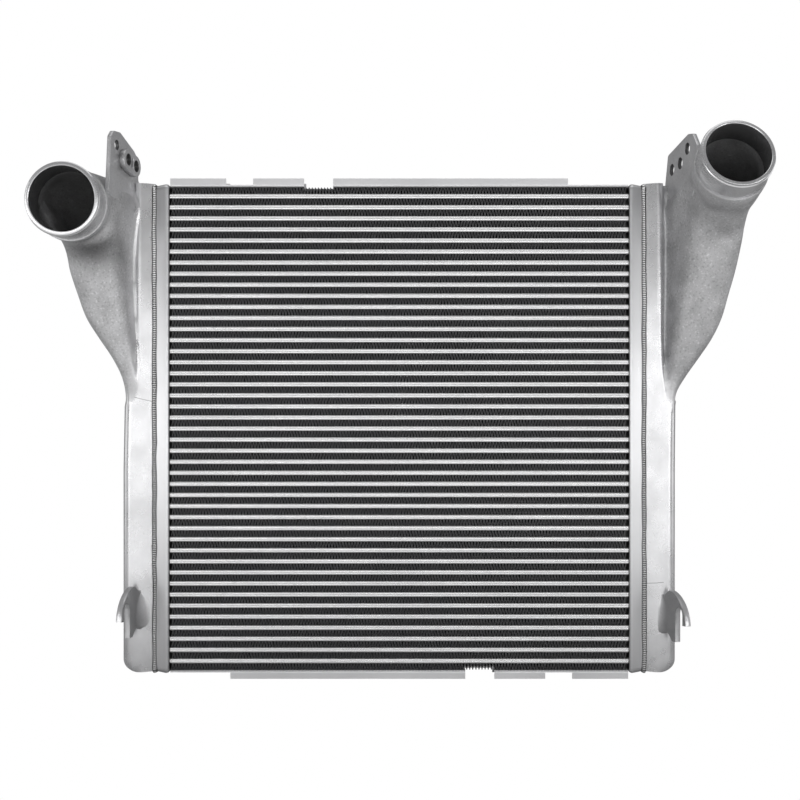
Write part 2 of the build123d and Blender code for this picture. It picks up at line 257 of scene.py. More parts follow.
def put(name: str, data: bpy.types.ID) -> bpy.types.Object:
    """New object at the origin of the scene.

    Args:
        name: Its name.
        data: Its mesh, curve, light or camera.

    Returns:
        The object.
    """
    made = bpy.data.objects.new(name, data)
    bpy.context.scene.collection.objects.link(made)
    return made


def settled(holder: bpy.types.Object) -> Shell:
    """Shell of a helper object after its modifiers or its fill, and the object is removed.

    Args:
        holder: The helper object.

    Returns:
        The shell.
    """
    bpy.context.view_layer.update()
    shell = shell_of(holder.evaluated_get(bpy.context.evaluated_depsgraph_get()).to_mesh())
    bpy.data.objects.remove(holder)
    return shell


def add_piece(
    name: str,
    shell: Shell,
    finish: "Finish",
    nodes: tuple[str, ...] = (),
    smooth: bool = True,
    sharp: float | None = None,
) -> bpy.types.Object:
    """Makes a shown piece at the origin and ties it to the frame.

    Args:
        name: Name of the object.
        shell: Its mesh in millimetres.
        finish: Its finish.
        nodes: CAD nodes it stands for.
        smooth: Smooth shading.
        sharp: Angle in degrees over which an edge is drawn sharp, or None.

    Returns:
        The new object.
    """
    mesh = make_mesh(name, shell, smooth)
    if sharp is not None:
        mesh.set_sharp_from_angle(angle=math.radians(sharp))
    piece = put(name, mesh)
    mesh.materials.append(finish.material())
    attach(piece, "root")
    if nodes:
        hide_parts(*nodes)
    log.info("%s: %d faces", name, len(mesh.polygons))
    return piece


def relaxed(shell: Shell, rounds: int, weights: np.ndarray) -> np.ndarray:
    """Points of a skin after each has been drawn towards the mean of its neighbours, a few times.

    Args:
        shell: The skin, made of quads.
        rounds: Number of rounds.
        weights: For each point, 0 to hold it and 1 to draw it half way.

    Returns:
        The moved points.
    """
    quads = np.vstack([block for block in shell.faces if block.shape[1] == 4])
    edges = np.vstack([np.stack([quads[:, k], quads[:, (k + 1) % 4]], axis=1) for k in range(4)])
    edges = np.unique(np.sort(edges, axis=1), axis=0)
    ends = np.concatenate([edges[:, 0], edges[:, 1]])
    others = np.concatenate([edges[:, 1], edges[:, 0]])
    count = len(shell.points)
    degree = np.maximum(np.bincount(ends, minlength=count), 1)
    points = shell.points.copy()
    for _ in range(rounds):
        mean = np.stack([np.bincount(ends, points[others, axis], count) for axis in range(3)], axis=1)
        points += 0.5 * weights[:, None] * (mean / degree[:, None] - points)
    return points


def rounded_outline(corners: list[tuple[float, float]], radius: float, steps: int = 5) -> np.ndarray:
    """Closed outline with each corner replaced by an arc.

    Each arc touches both edges of its corner. Where the edges are short, its radius is made smaller.

    Args:
        corners: Corner points in order.
        radius: Radius of the arcs.
        steps: Number of points on each arc, less one.

    Returns:
        Array of points of the outline.
    """
    points = np.array(corners, float)
    to_last = np.roll(points, 1, axis=0) - points
    to_next = np.roll(points, -1, axis=0) - points
    length_last = np.linalg.norm(to_last, axis=1)
    length_next = np.linalg.norm(to_next, axis=1)
    unit_last = to_last / length_last[:, None]
    unit_next = to_next / length_next[:, None]
    half = np.arccos(np.clip((unit_last * unit_next).sum(axis=1), -1, 1)) / 2
    reach = np.minimum(radius / np.tan(half), 0.45 * np.minimum(length_last, length_next))
    share = np.linspace(0, 1, steps + 1)[None, :, None]
    start = (points + unit_last * reach[:, None])[:, None, :]
    end = (points + unit_next * reach[:, None])[:, None, :]
    middle = points[:, None, :]
    return ((1 - share) ** 2 * start + 2 * share * (1 - share) * middle + share**2 * end).reshape(-1, 2)


def arc(angle: np.ndarray, radius: float, centre: tuple[float, float] = (0.0, 0.0)) -> np.ndarray:
    """Points on a circle at the given angles.

    Args:
        angle: The angles in radians.
        radius: Radius of the circle.
        centre: Its middle.

    Returns:
        Array of points.
    """
    return np.stack([centre[0] + radius * np.cos(angle), centre[1] + radius * np.sin(angle)], axis=1)


def circle_outline(centre: tuple[float, float], radius: float, count: int = 40) -> np.ndarray:
    """Points of a circle.

    Args:
        centre: Its middle.
        radius: Its radius.
        count: Number of points.

    Returns:
        Array of points.
    """
    return arc(np.linspace(0, 2 * math.pi, count, endpoint=False), radius, centre)


@dataclass(frozen=True)
class Frame:
    """A flat frame in space, in millimetres.

    Args:
        origin: Its origin.
        right: Unit vector of its X.
        up: Unit vector of its Y.
    """

    origin: np.ndarray
    right: np.ndarray
    up: np.ndarray

    @property
    def out(self) -> np.ndarray:
        """Unit vector of its Z."""
        return np.cross(self.right, self.up)

    def place(self, flat: np.ndarray, height: np.ndarray | float = 0.0) -> np.ndarray:
        """Points of the frame's plane as points in space.

        Args:
            flat: Array of points with two numbers each.
            height: Distance off the plane.

        Returns:
            Array of points with three numbers each.
        """
        off = np.broadcast_to(np.asarray(height, float), flat.shape[:-1])[..., None]
        return self.origin + flat[..., :1] * self.right + flat[..., 1:2] * self.up + off * self.out


def plate_shell(frame: Frame, outline: np.ndarray, holes: list[np.ndarray], low: float, high: float) -> Shell:
    """Flat plate with holes, filled by a curve and thickened both ways.

    Args:
        frame: Plane of the plate.
        outline: Its outer outline.
        holes: Outlines of its holes.
        low: Lower face above the plane.
        high: Upper face above the plane.

    Returns:
        The closed plate.
    """
    curve = bpy.data.curves.new("plate_outline", "CURVE")
    curve.dimensions = "2D"
    curve.fill_mode = "BOTH"
    curve.extrude = (high - low) / 2 - BEVEL
    curve.bevel_depth = BEVEL
    curve.bevel_resolution = 1
    curve.offset = -BEVEL
    for loop in [outline, *holes]:
        spline = curve.splines.new("POLY")
        spline.points.add(len(loop) - 1)
        rows = np.column_stack([loop, np.zeros(len(loop)), np.ones(len(loop))])
        spline.points.foreach_set("co", rows.ravel())
        spline.use_cyclic_u = True
    shell = settled(put("plate_outline", curve))
    bpy.data.curves.remove(curve)
    # The curve holds one unit for each millimetre
    flat = shell.points * MM
    shell.points = frame.place(flat[:, :2], flat[:, 2] + (low + high) / 2)
    return shell


# Finishes


class Nodes:
    """Short way to build a node tree in code."""

    def __init__(self, name: str) -> None:
        """Makes an empty material with its output.

        Args:
            name: Name of the material.
        """
        self.material = bpy.data.materials.new(name)
        self.material.use_nodes = True
        self.tree = self.material.node_tree
        self.tree.nodes.clear()
        self.out = self.add("ShaderNodeOutputMaterial")

    def add(self, kind: str, **settings: object) -> bpy.types.Node:
        """Adds a node and sets its properties or the values of its sockets.

        Args:
            kind: Blender's name of the node type.
            settings: Properties, or sockets as socket_NAME.

        Returns:
            The new node.
        """
        node = self.tree.nodes.new(kind)
        for key, value in settings.items():
            if key.startswith("socket_"):
                node.inputs[key[7:].replace("_", " ")].default_value = value
            else:
                setattr(node, key, value)
        return node

    def link(self, source: Socket, target: Socket) -> None:
        """Joins two sockets."""
        self.tree.links.new(source, target)

    def feed(self, socket: Socket, value: Socket | Colour | float) -> None:
        """Gives a socket a colour or a number, or links it to the socket that holds its value.

        Args:
            socket: The socket that takes the value.
            value: The value.
        """
        if isinstance(value, tuple):
            socket.default_value = (*value, 1.0)
        elif isinstance(value, (int, float)):
            socket.default_value = value
        else:
            self.link(value, socket)

    def noise(
        self, scale: float, detail: float = 3.0, stretch: tuple[float, float, float] = (1, 1, 1)
    ) -> Socket:
        """Noise in object space.

        Args:
            scale: Scale in waves a metre.
            detail: Octaves.
            stretch: Factor along each axis.

        Returns:
            The noise value socket.
        """
        place = self.add("ShaderNodeTexCoord")
        mapping = self.add("ShaderNodeMapping")
        mapping.inputs["Scale"].default_value = stretch
        node = self.add("ShaderNodeTexNoise", socket_Scale=scale, socket_Detail=detail)
        self.link(place.outputs["Object"], mapping.inputs["Vector"])
        self.link(mapping.outputs["Vector"], node.inputs["Vector"])
        return node.outputs["Fac"]

    def ramp(self, value: Socket, stops: list[tuple[float, Colour]]) -> Socket:
        """Colour ramp over a value.

        Args:
            value: Socket that drives it.
            stops: Places and colours.

        Returns:
            The colour socket.
        """
        node = self.add("ShaderNodeValToRGB")
        elements = node.color_ramp.elements
        while len(elements) < len(stops):
            elements.new(0.5)
        for element, (place, colour) in zip(elements, stops):
            element.position = place
            element.color = (*colour, 1.0)
        self.link(value, node.inputs["Fac"])
        return node.outputs["Color"]

    def span(self, value: Socket, low: float, high: float) -> Socket:
        """Maps a value from 0..1 to another range.

        Args:
            value: The value.
            low: What 0 becomes.
            high: What 1 becomes.

        Returns:
            The socket of the result.
        """
        node = self.add("ShaderNodeMapRange")
        node.inputs["To Min"].default_value = low
        node.inputs["To Max"].default_value = high
        self.link(value, node.inputs["Value"])
        return node.outputs["Result"]

    def seam(self, level: float, climb: float) -> Socket:
        """Thin line at a height over the front of a tank, from the header to the tank's outer corner.

        Args:
            level: Height of the line in metres at the joint with the header.
            climb: How far it climbs for each metre away from the core.

        Returns:
            Socket that is 1 on the line and 0 elsewhere.
        """
        split = self.add("ShaderNodeSeparateXYZ")
        self.link(self.add("ShaderNodeTexCoord").outputs["Object"], split.inputs["Vector"])
        out = self.maths("ABSOLUTE", split.outputs["X"])
        rise = self.sum_of(split.outputs["Z"], out, -climb)
        line = self.maths("COMPARE", rise, level - climb * SEAM_START, SEAM_HALF)
        rim = self.maths("COMPARE", out, *SEAM_RIM)
        front = self.maths("COMPARE", split.outputs["Y"], *SEAM_FRONT)
        return self.maths("MULTIPLY", self.maths("MULTIPLY", line, rim), front)

    def maths(self, operation: str, *values: Socket | float) -> Socket:
        """Maths node over sockets and plain numbers.

        Args:
            operation: Blender's name of the operation.
            values: What goes into the node's sockets, in their order.

        Returns:
            The value socket.
        """
        node = self.add("ShaderNodeMath", operation=operation)
        for socket, value in zip(node.inputs, values):
            self.feed(socket, value)
        return node.outputs["Value"]

    def mark(self, name: str) -> Socket:
        """Value of a mesh mark, as a socket."""
        return self.add("ShaderNodeAttribute", attribute_name=name).outputs["Fac"]

    def mixed(self, factor: Socket, first: Socket | Colour, second: Socket | Colour) -> Socket:
        """Colour between two colours.

        Args:
            factor: Share of the second colour.
            first: First colour, a socket or a tuple.
            second: Second colour, in the same way.

        Returns:
            The colour socket.
        """
        node = self.add("ShaderNodeMix", data_type="RGBA")
        self.link(factor, node.inputs["Factor"])
        self.feed(node.inputs[6], first)
        self.feed(node.inputs[7], second)
        return node.outputs[2]

    def sum_of(self, first: Socket, second: Socket, factor: float) -> Socket:
        """First value plus a factor times the second, as a socket."""
        return self.maths("MULTIPLY_ADD", second, factor, first)

    def bump(
        self, value: Socket, strength: Socket | float, distance: float, base: Socket | None = None
    ) -> Socket:
        """Bump from a height value, on top of an earlier bump if given.

        Args:
            value: The height.
            strength: Strength, a socket or a number.
            distance: Height of the bumps in metres.
            base: Normal of the earlier bump, or None.

        Returns:
            The normal socket.
        """
        node = self.add("ShaderNodeBump", socket_Distance=distance)
        self.feed(node.inputs["Strength"], strength)
        self.link(value, node.inputs["Height"])
        if base is not None:
            self.link(base, node.inputs["Normal"])
        return node.outputs["Normal"]


@dataclass(frozen=True)
class Finish:
    """Base of all finishes. Each makes its material once.

    Args:
        name: Name of the material.
        base: Base colour.
        rough: Roughness.
        metal: Metallic share.
    """

    name: str
    base: Colour
    rough: float
    metal: float

    def material(self) -> bpy.types.Material:
        """The finish's material, made at the first call."""
        found = bpy.data.materials.get(self.name)
        return found or self.build()

    def build(self) -> bpy.types.Material:
        """Makes the material."""
        raise NotImplementedError

    def tones(self, low: float, high: float) -> list[tuple[float, Colour]]:
        """Two stops round the base colour, for a ramp.

        Args:
            low: Factor of the darker stop.
            high: Factor of the brighter one.

        Returns:
            Places and colours.
        """
        return [
            (0.3, tuple(channel * low for channel in self.base)),
            (0.7, tuple(min(channel * high, 1.0) for channel in self.base)),
        ]


@dataclass(frozen=True)
class CastFinish(Finish):
    """Sand-cast aluminium: soft mottling, fine grain and a few pimples.

    The mark coarse turns it from a smooth skin into a darker and duller sandy one.

    Args:
        grain: Depth of the grain in metres.
        sand: Tone of the sandy skin as a share of the smooth one.
        seam_level: Height of the mould's parting line, in metres, where it meets the header.
        seam_climb: How far the line climbs for each metre away from the core.
    """

    grain: float = 0.0004
    sand: float = 0.86
    seam_level: float = 0.400
    seam_climb: float = 0.20

    def build(self) -> bpy.types.Material:
        """Noise of three sizes drives colour, roughness and bump.

        Returns:
            The material.
        """
        nodes = Nodes(self.name)
        shader = nodes.add("ShaderNodeBsdfPrincipled")
        coarse = nodes.mark("coarse")
        blotch = nodes.ramp(nodes.noise(22.0, 4.0), self.tones(0.86, 1.08))
        sand = nodes.ramp(nodes.noise(30.0, 5.0), self.tones(self.sand * 0.78, self.sand * 1.12))
        specks = [(0.30, (0.74,) * 3), (0.44, (1.0,) * 3), (0.60, (1.0,) * 3), (0.70, (1.32,) * 3)]
        tint = nodes.add("ShaderNodeMix", data_type="RGBA", blend_type="MULTIPLY")
        nodes.link(nodes.span(coarse, 0.05, 1.0), tint.inputs["Factor"])
        nodes.link(nodes.mixed(coarse, blotch, sand), tint.inputs[6])
        nodes.link(nodes.ramp(nodes.noise(340.0, 2.0), specks), tint.inputs[7])
        # The dark mark is painted shade; with the parting line it draws the base colour towards black
        line = nodes.sum_of(nodes.mark("dark"), nodes.seam(self.seam_level, self.seam_climb), 0.55)
        nodes.link(nodes.mixed(line, tint.outputs[2], (0.05, 0.05, 0.05)), shader.inputs["Base Color"])
        nodes.link(nodes.span(coarse, self.metal, self.metal * 0.75), shader.inputs["Metallic"])
        rough = nodes.span(nodes.noise(60.0, 3.0), self.rough - 0.05, self.rough + 0.05)
        nodes.link(nodes.sum_of(rough, coarse, 0.26), shader.inputs["Roughness"])
        wide = nodes.bump(nodes.noise(120.0, 2.0), nodes.span(coarse, 0.03, 0.5), self.grain * 2.5)
        fine = nodes.bump(nodes.noise(520.0, 3.0), nodes.span(coarse, 0.05, 0.6), self.grain * 1.3, wide)
        nodes.link(fine, shader.inputs["Normal"])
        nodes.link(shader.outputs["BSDF"], nodes.out.inputs["Surface"])
        return nodes.material


@dataclass(frozen=True)
class SheetFinish(Finish):
    """Rolled sheet with faint drawn lines.

    Args:
        stretch: Factor along each axis that draws the lines out.
        lines: Depth of the lines in metres.
    """

    stretch: tuple[float, float, float] = (0.02, 1.0, 1.0)
    lines: float = 0.0001

    def build(self) -> bpy.types.Material:
        """Stretched noise drives bump and roughness, and soft noise the tone.

        Returns:
            The material.
        """
        nodes = Nodes(self.name)
        shader = nodes.add("ShaderNodeBsdfPrincipled", socket_Metallic=self.metal)
        tone = nodes.ramp(nodes.noise(9.0, 3.0), self.tones(0.93, 1.05))
        # The dark mark is painted shade, which draws the tone towards black
        nodes.link(nodes.mixed(nodes.mark("dark"), tone, (0.02, 0.02, 0.02)), shader.inputs["Base Color"])
        drawn = nodes.noise(700.0, 2.0, self.stretch)
        nodes.link(nodes.span(drawn, self.rough - 0.07, self.rough + 0.07), shader.inputs["Roughness"])
        nodes.link(nodes.bump(drawn, 0.35, self.lines), shader.inputs["Normal"])
        nodes.link(shader.outputs["BSDF"], nodes.out.inputs["Surface"])
        return nodes.material


# Dimensions, in millimetres


@dataclass(frozen=True)
class Core:
    """Stack of tubes and fins.

    Args:
        tube_count: Number of tubes.
        tube_height: Height of a tube.
        fin_height: Height of the gap between two tubes.
        plate_sheet: Sheet of the side plates.
        depth: Depth of the core.
        width: Width between the headers' faces.
        tube_end: Distance out of the tubes' ends.
        fold_pitch: From one fold of the fins to the next.
        fin_sheet: Sheet of the fins.
        fin_edge: Width of the band along their edges.
    """

    tube_count: int = 43
    tube_height: float = 6.85
    fin_height: float = 9.48
    plate_sheet: float = 3.0
    depth: float = 57.0
    width: float = 676.2
    tube_end: float = 343.6
    fold_pitch: float = 4.54
    fin_sheet: float = 0.3
    fin_edge: float = 0.7

    @property
    def pitch(self) -> float:
        """From one tube to the next."""
        return self.tube_height + self.fin_height

    @property
    def middle(self) -> float:
        """Height of the stack's middle."""
        return self.plate_sheet + (self.tube_count * self.pitch + self.fin_height) / 2

    def tube_levels(self) -> np.ndarray:
        """Heights of the tubes' middles."""
        first = self.plate_sheet + self.fin_height + self.tube_height / 2
        return first + np.arange(self.tube_count) * self.pitch

    def fin_levels(self) -> np.ndarray:
        """Heights of the fins' middles."""
        return self.plate_sheet + self.fin_height / 2 + np.arange(self.tube_count + 1) * self.pitch


@dataclass(frozen=True)
class HeaderSize:
    """Drafted tray between the core and a tank.

    Args:
        face: Distance out of its face.
        joint: Distance out of its joint with the tank.
        height: Its height next to the core.
        depth: Its depth there.
        draft: How far each wall comes in at the joint.
        bend: Radius of the fold between wall and face.
        corner: Radius of its corners.
    """

    face: float = 338.1
    joint: float = 359.6
    height: float = 724.0
    depth: float = 70.0
    draft: float = 4.0
    bend: float = 7.0
    corner: float = 9.0


@dataclass(frozen=True)
class Port:
    """A hose port.

    Args:
        out: Distance out of the middle of its mouth.
        depth: Depth of that point.
        height: Height of that point.
        tilt: Tilt of its axis from upright.
        turn: Turn of its axis outwards.
        land: Length of its machined end.
    """

    out: float
    depth: float
    height: float
    tilt: float
    turn: float
    land: float


@dataclass(frozen=True)
class TankSize:
    """Everything that differs between the two tanks. Stations are as in the CAD source.

    Args:
        side: Side of the tank.
        port: Its port.
        bend: Depth and height of the bend's middle.
        rise: Stations up the duct, as height, distance out of the outer side, and corner.
        turns: Stations round the bend, as tilt, near and far side, outer side near and far, and corner.
        ear: Distance out, depth and swing of the ear's plane.
        ear_outline: Its outline, as distance forward and height.
        ear_holes: Its holes, as distance forward, height and radius.
        boss: Ends of the boss's middle line, or nothing.
        hook: Distance out, depth and swing of the hook's plane, and height of its top.
    """

    side: Side
    port: Port
    bend: tuple[float, float]
    rise: tuple[tuple[float, float, float], ...]
    turns: tuple[tuple[float, float, float, float, float, float], ...]
    ear: tuple[float, float, float]
    ear_outline: tuple[tuple[float, float], ...]
    ear_holes: tuple[tuple[float, float, float], ...]
    boss: tuple[tuple[float, float], ...]
    hook: tuple[float, float, float, float]


LEFT_TANK = TankSize(
    side=Side.LEFT,
    port=Port(464.4, -180.0, 678.1, 90.0, 0.0, 57.0),
    bend=(-123.0, 588.5),
    rise=(
        (382.0, 404.0, 11.0), (412.0, 403.0, 11.0), (434.0, 407.5, 11.0), (462.0, 420.5, 12.0),
        (490.0, 438.5, 14.0), (520.0, 456.5, 17.0), (552.0, 467.5, 20.0),
    ),
    turns=(
        (0.0, 37.4, 164.0, 478.5, 478.5, 24.0), (22.0, 37.0, 161.0, 482.0, 492.0, 27.0),
        (45.0, 37.0, 155.0, 488.0, 506.0, 32.0), (68.0, 37.0, 148.0, 500.0, 515.0, 42.0),
    ),
    ear=(385.2, -25.0, 15.0),
    ear_outline=(
        (-14, 690), (-14, 715), (0, 724), (0, 745), (4, 758), (14, 766), (61, 786), (82, 785), (91, 776),
        (98, 700), (88, 690),
    ),
    ear_holes=((52, 748, 8.25), (26, 742, 8.25), (72, 766, 7.0)),
    boss=((26.0, 742.0), (52.0, 748.0)),
    hook=(379.4, -41.0, 14.0, 130.0),
)
RIGHT_TANK = TankSize(
    side=Side.RIGHT,
    port=Port(462.1, -203.0, 738.1, 68.5, 3.5, 40.0),
    bend=(-176.7, 628.2),
    rise=(
        (382.0, 405.0, 11.0), (412.0, 408.0, 11.0), (434.0, 420.5, 12.0), (462.0, 439.5, 13.0),
        (490.0, 457.5, 15.0), (520.0, 471.0, 17.0), (552.0, 479.0, 19.0), (588.0, 488.0, 21.0),
    ),
    turns=(
        (0.0, 81.5, 217.0, 494.5, 494.5, 18.0), (18.0, 66.0, 184.0, 496.0, 502.0, 24.0),
        (36.0, 54.0, 153.0, 499.0, 508.0, 32.0), (53.0, 45.0, 142.0, 504.0, 512.0, 42.0),
    ),
    ear=(397.0, -25.0, 12.0),
    ear_outline=(
        (-12, 690), (-12, 716), (0, 762), (75, 781), (91, 779), (107, 760), (112, 722), (90, 690),
    ),
    ear_holes=((72.5, 760.5, 8.25), (46, 743.7, 8.25), (15.3, 738.7, 8.25)),
    boss=(),
    hook=(385.5, -41.0, 20.0, 124.0),
)


# Core pieces


@dataclass
class CorePieces:
    """Tubes and fins of the core.

    Args:
        size: Sizes of the stack.
        tube_finish: Finish of the tubes.
        fin_finish: Finish of the fins.
        nose: Depth of a tube's rounded front.
        seam: Depth of the groove along it.
        seam_shade: Painted shade in the groove, as a dark mark.
        crest: Share of a fold that a flat crest takes.
        straight: Depth over which the fins run straight at the front and the back.
        swing: How far they swing sideways in the middle.
        jitter: Spread of the folds' places.
        shift: Largest shift of a row of folds.
        set_back: Distance of the fins from the core's faces and ends.
    """

    size: Core
    tube_finish: Finish
    fin_finish: Finish
    nose: float = 2.2
    seam: float = 0.3
    seam_shade: float = 0.3
    crest: float = 0.13
    straight: float = 6.0
    swing: float = 3.2
    jitter: float = 0.12
    shift: float = 0.8
    set_back: float = 1.0

    def tubes(self) -> bpy.types.Object:
        """Flat tubes with round noses.

        The section is straight above and below. Its front and back follow a curve of the third power, flat in
        the middle and tight at the corners, of depth nose. A shallow groove runs along the middle of each.

        Returns:
            One object with all the tubes.
        """
        half = self.size.tube_height / 2
        flat = self.size.depth / 2 - self.nose
        steps = np.array([0.0, 0.08, 0.2, 0.45, 0.65, 0.8, 0.9, 0.96, 1.0])
        share = np.concatenate([-steps[:0:-1], steps])
        groove = self.seam * np.exp(-((share / 0.1) ** 2))
        nose_y = flat + self.nose * np.cbrt(1 - np.abs(share) ** 3) - groove
        nose_z = half * share
        ring_y = np.concatenate([nose_y, -nose_y[::-1]])
        ring_z = np.concatenate([nose_z, nose_z[::-1]])
        ends = np.array([-self.size.tube_end, self.size.tube_end])
        # Painted shade in each tube's groove, darkest at its middle
        dark = np.tile(np.concatenate([groove, groove[::-1]]) / self.seam * self.seam_shade, 2)
        shells = [
            tube_shell(spread(ends[:, None], ring_y, level + ring_z)).marked(dark=dark)
            for level in self.size.tube_levels()
        ]
        names = tuple(f"tube_{index + 1:02d}" for index in range(self.size.tube_count))
        return add_piece(
            "tubes_round", shells[0].joined(*shells[1:]), self.tube_finish, names, sharp=60
        )

    def fins(self) -> list[bpy.types.Object]:
        """Folded fins in every gap.

        The fold runs up and down between two levels with short flat crests. Through the depth the whole fold
        swings sideways and back by more than a wall's distance, so nothing shows through. A narrow band along
        the front and the back edge gives the sheet its thickness.

        Returns:
            Two objects, for the lower and the upper half.
        """
        size = self.size
        count = int(2 * (size.width / 2 - self.set_back) / size.fold_pitch)
        start = -count * size.fold_pitch / 2
        share = np.array([0.0, self.crest, 0.5, 0.5 + self.crest])
        x = (start + (np.arange(count)[:, None] + share) * size.fold_pitch).ravel()
        z = np.tile([-1.0, -1.0, 1.0, 1.0], count) * (size.fin_height / 2 - size.fin_sheet / 2)
        half = size.depth / 2 - self.set_back
        depths = np.array([-half, -half + self.straight, 0.0, half - self.straight, half])
        swing = np.array([0.0, 0.0, self.swing, 0.0, 0.0])
        # Painted shade: the sheet darkens towards the middle of the core's depth, where little light reaches
        painted_depth_shade = np.repeat([0.45, 0.9, 1.0, 0.9, 0.45], len(x))
        rng = np.random.default_rng(7)
        halves = np.array_split(size.fin_levels(), 2)
        pieces = []
        for label, levels in zip(("lower", "upper"), halves):
            shells = []
            for level in levels:
                wave = x + rng.normal(0, self.jitter, len(x)) + rng.uniform(-self.shift, self.shift)
                sheet = sheet_shell(spread(wave + swing[:, None], depths[:, None], level + z))
                shells.append(sheet.marked(dark=painted_depth_shade))
                shells += [self.edge_band(wave, level + z, edge) for edge in (-half, half)]
            nodes = ("fins",) if label == "lower" else ()
            whole = shells[0].joined(*shells[1:])
            piece = add_piece(f"fins_{label}", whole, self.fin_finish, nodes, smooth=False)
            pieces.append(piece)
        return pieces

    def edge_band(self, x: np.ndarray, z: np.ndarray, depth: float) -> Shell:
        """Band along a fold's edge, of the sheet's thickness.

        Args:
            x: Places of the fold along the core.
            z: Heights of the fold.
            depth: Depth of the edge.

        Returns:
            The band as a shell.
        """
        along = np.stack([np.gradient(x), np.gradient(z)], axis=1)
        normal = np.stack([-along[:, 1], along[:, 0]], axis=1) / np.linalg.norm(along, axis=1)[:, None]
        half = self.size.fin_edge / 2
        ways = np.array([[-half], [half]])
        return sheet_shell(spread(x + ways * normal[:, 0], depth, z + ways * normal[:, 1]))


def rectangle_ring(
    half_depth: float, half_height: float, corner: float, middle: float, steps: int
) -> np.ndarray:
    """Ring of a rounded rectangle in depth and height.

    Args:
        half_depth: Half its depth.
        half_height: Half its height.
        corner: Radius of its corners.
        middle: Height of its middle.
        steps: Points on each corner, less one.

    Returns:
        Array of points as depth and height, from the lower front corner.
    """
    angle = np.linspace(0, math.pi / 2, steps + 1)
    parts = []
    for quarter, (sign_y, sign_z) in enumerate(((-1, -1), (1, -1), (1, 1), (-1, 1))):
        turn = angle + math.pi + quarter * math.pi / 2
        centre = (sign_y * (half_depth - corner), sign_z * (half_height - corner))
        parts.append(arc(turn, corner, centre) + [0.0, middle])
    return np.vstack(parts)


@dataclass
class HeaderPiece:
    """Header tray with a rounded fold and drafted walls.

    Args:
        side: Its side.
        size: Its sizes.
        core: Sizes of the stack.
        finish: Its finish.
        rim: Length of the walls' straight part at the joint.
        wall_shade: Painted shade on the walls, as a dark mark.
        face_shade: Painted shade on the face between the tubes, as a dark mark.
    """

    side: Side
    size: HeaderSize
    core: Core
    finish: Finish
    rim: float = 8.0
    wall_shade: float = 0.06
    face_shade: float = 0.95

    def build(self) -> bpy.types.Object:
        """Skin from the joint over the fold to the flat face.

        The walls lean by the draft. The fold is a quarter of a circle between wall and face.

        Returns:
            The header's object.
        """
        size = self.size
        length = size.joint - size.face
        lean = size.draft / length
        turn = np.linspace(0, math.pi / 2, 12)
        fold_out = size.face + size.bend * (1 - np.sin(turn))
        fold_in = size.bend * (1 - np.cos(turn))
        out = np.concatenate([[size.joint, size.joint - self.rim], fold_out])
        inset = np.concatenate([[0.0, 0.0], fold_in]) + (out - size.face) * lean
        rings = []
        for distance, step in zip(out, inset):
            corner = max(size.corner - step * 0.5, 2.5)
            flat = rectangle_ring(size.depth / 2 - step, size.height / 2 - step, corner, self.core.middle, 5)
            ring = spread(self.side.value * distance, flat[:, 0], flat[:, 1])
            rings.append(ring if self.side is Side.RIGHT else ring[::-1])
        label = f"{self.side.label}_header"
        turned = np.concatenate([[0.0, 0.0], turn]) / (math.pi / 2)
        # Painted shade: a little on the walls, and deep on the face past the fold, in the gap before the
        # tubes
        dark = np.where(turned < 0.1, self.wall_shade, 0.0) + np.clip((turned - 0.4) * 2, 0, self.face_shade)
        shell = tube_shell(np.array(rings)[::-1], cap_last=False)
        shell = shell.marked(dark=np.repeat(dark[::-1], len(rings[0])))
        return add_piece(f"{label}_tray", shell, self.finish, (label,), sharp=50)


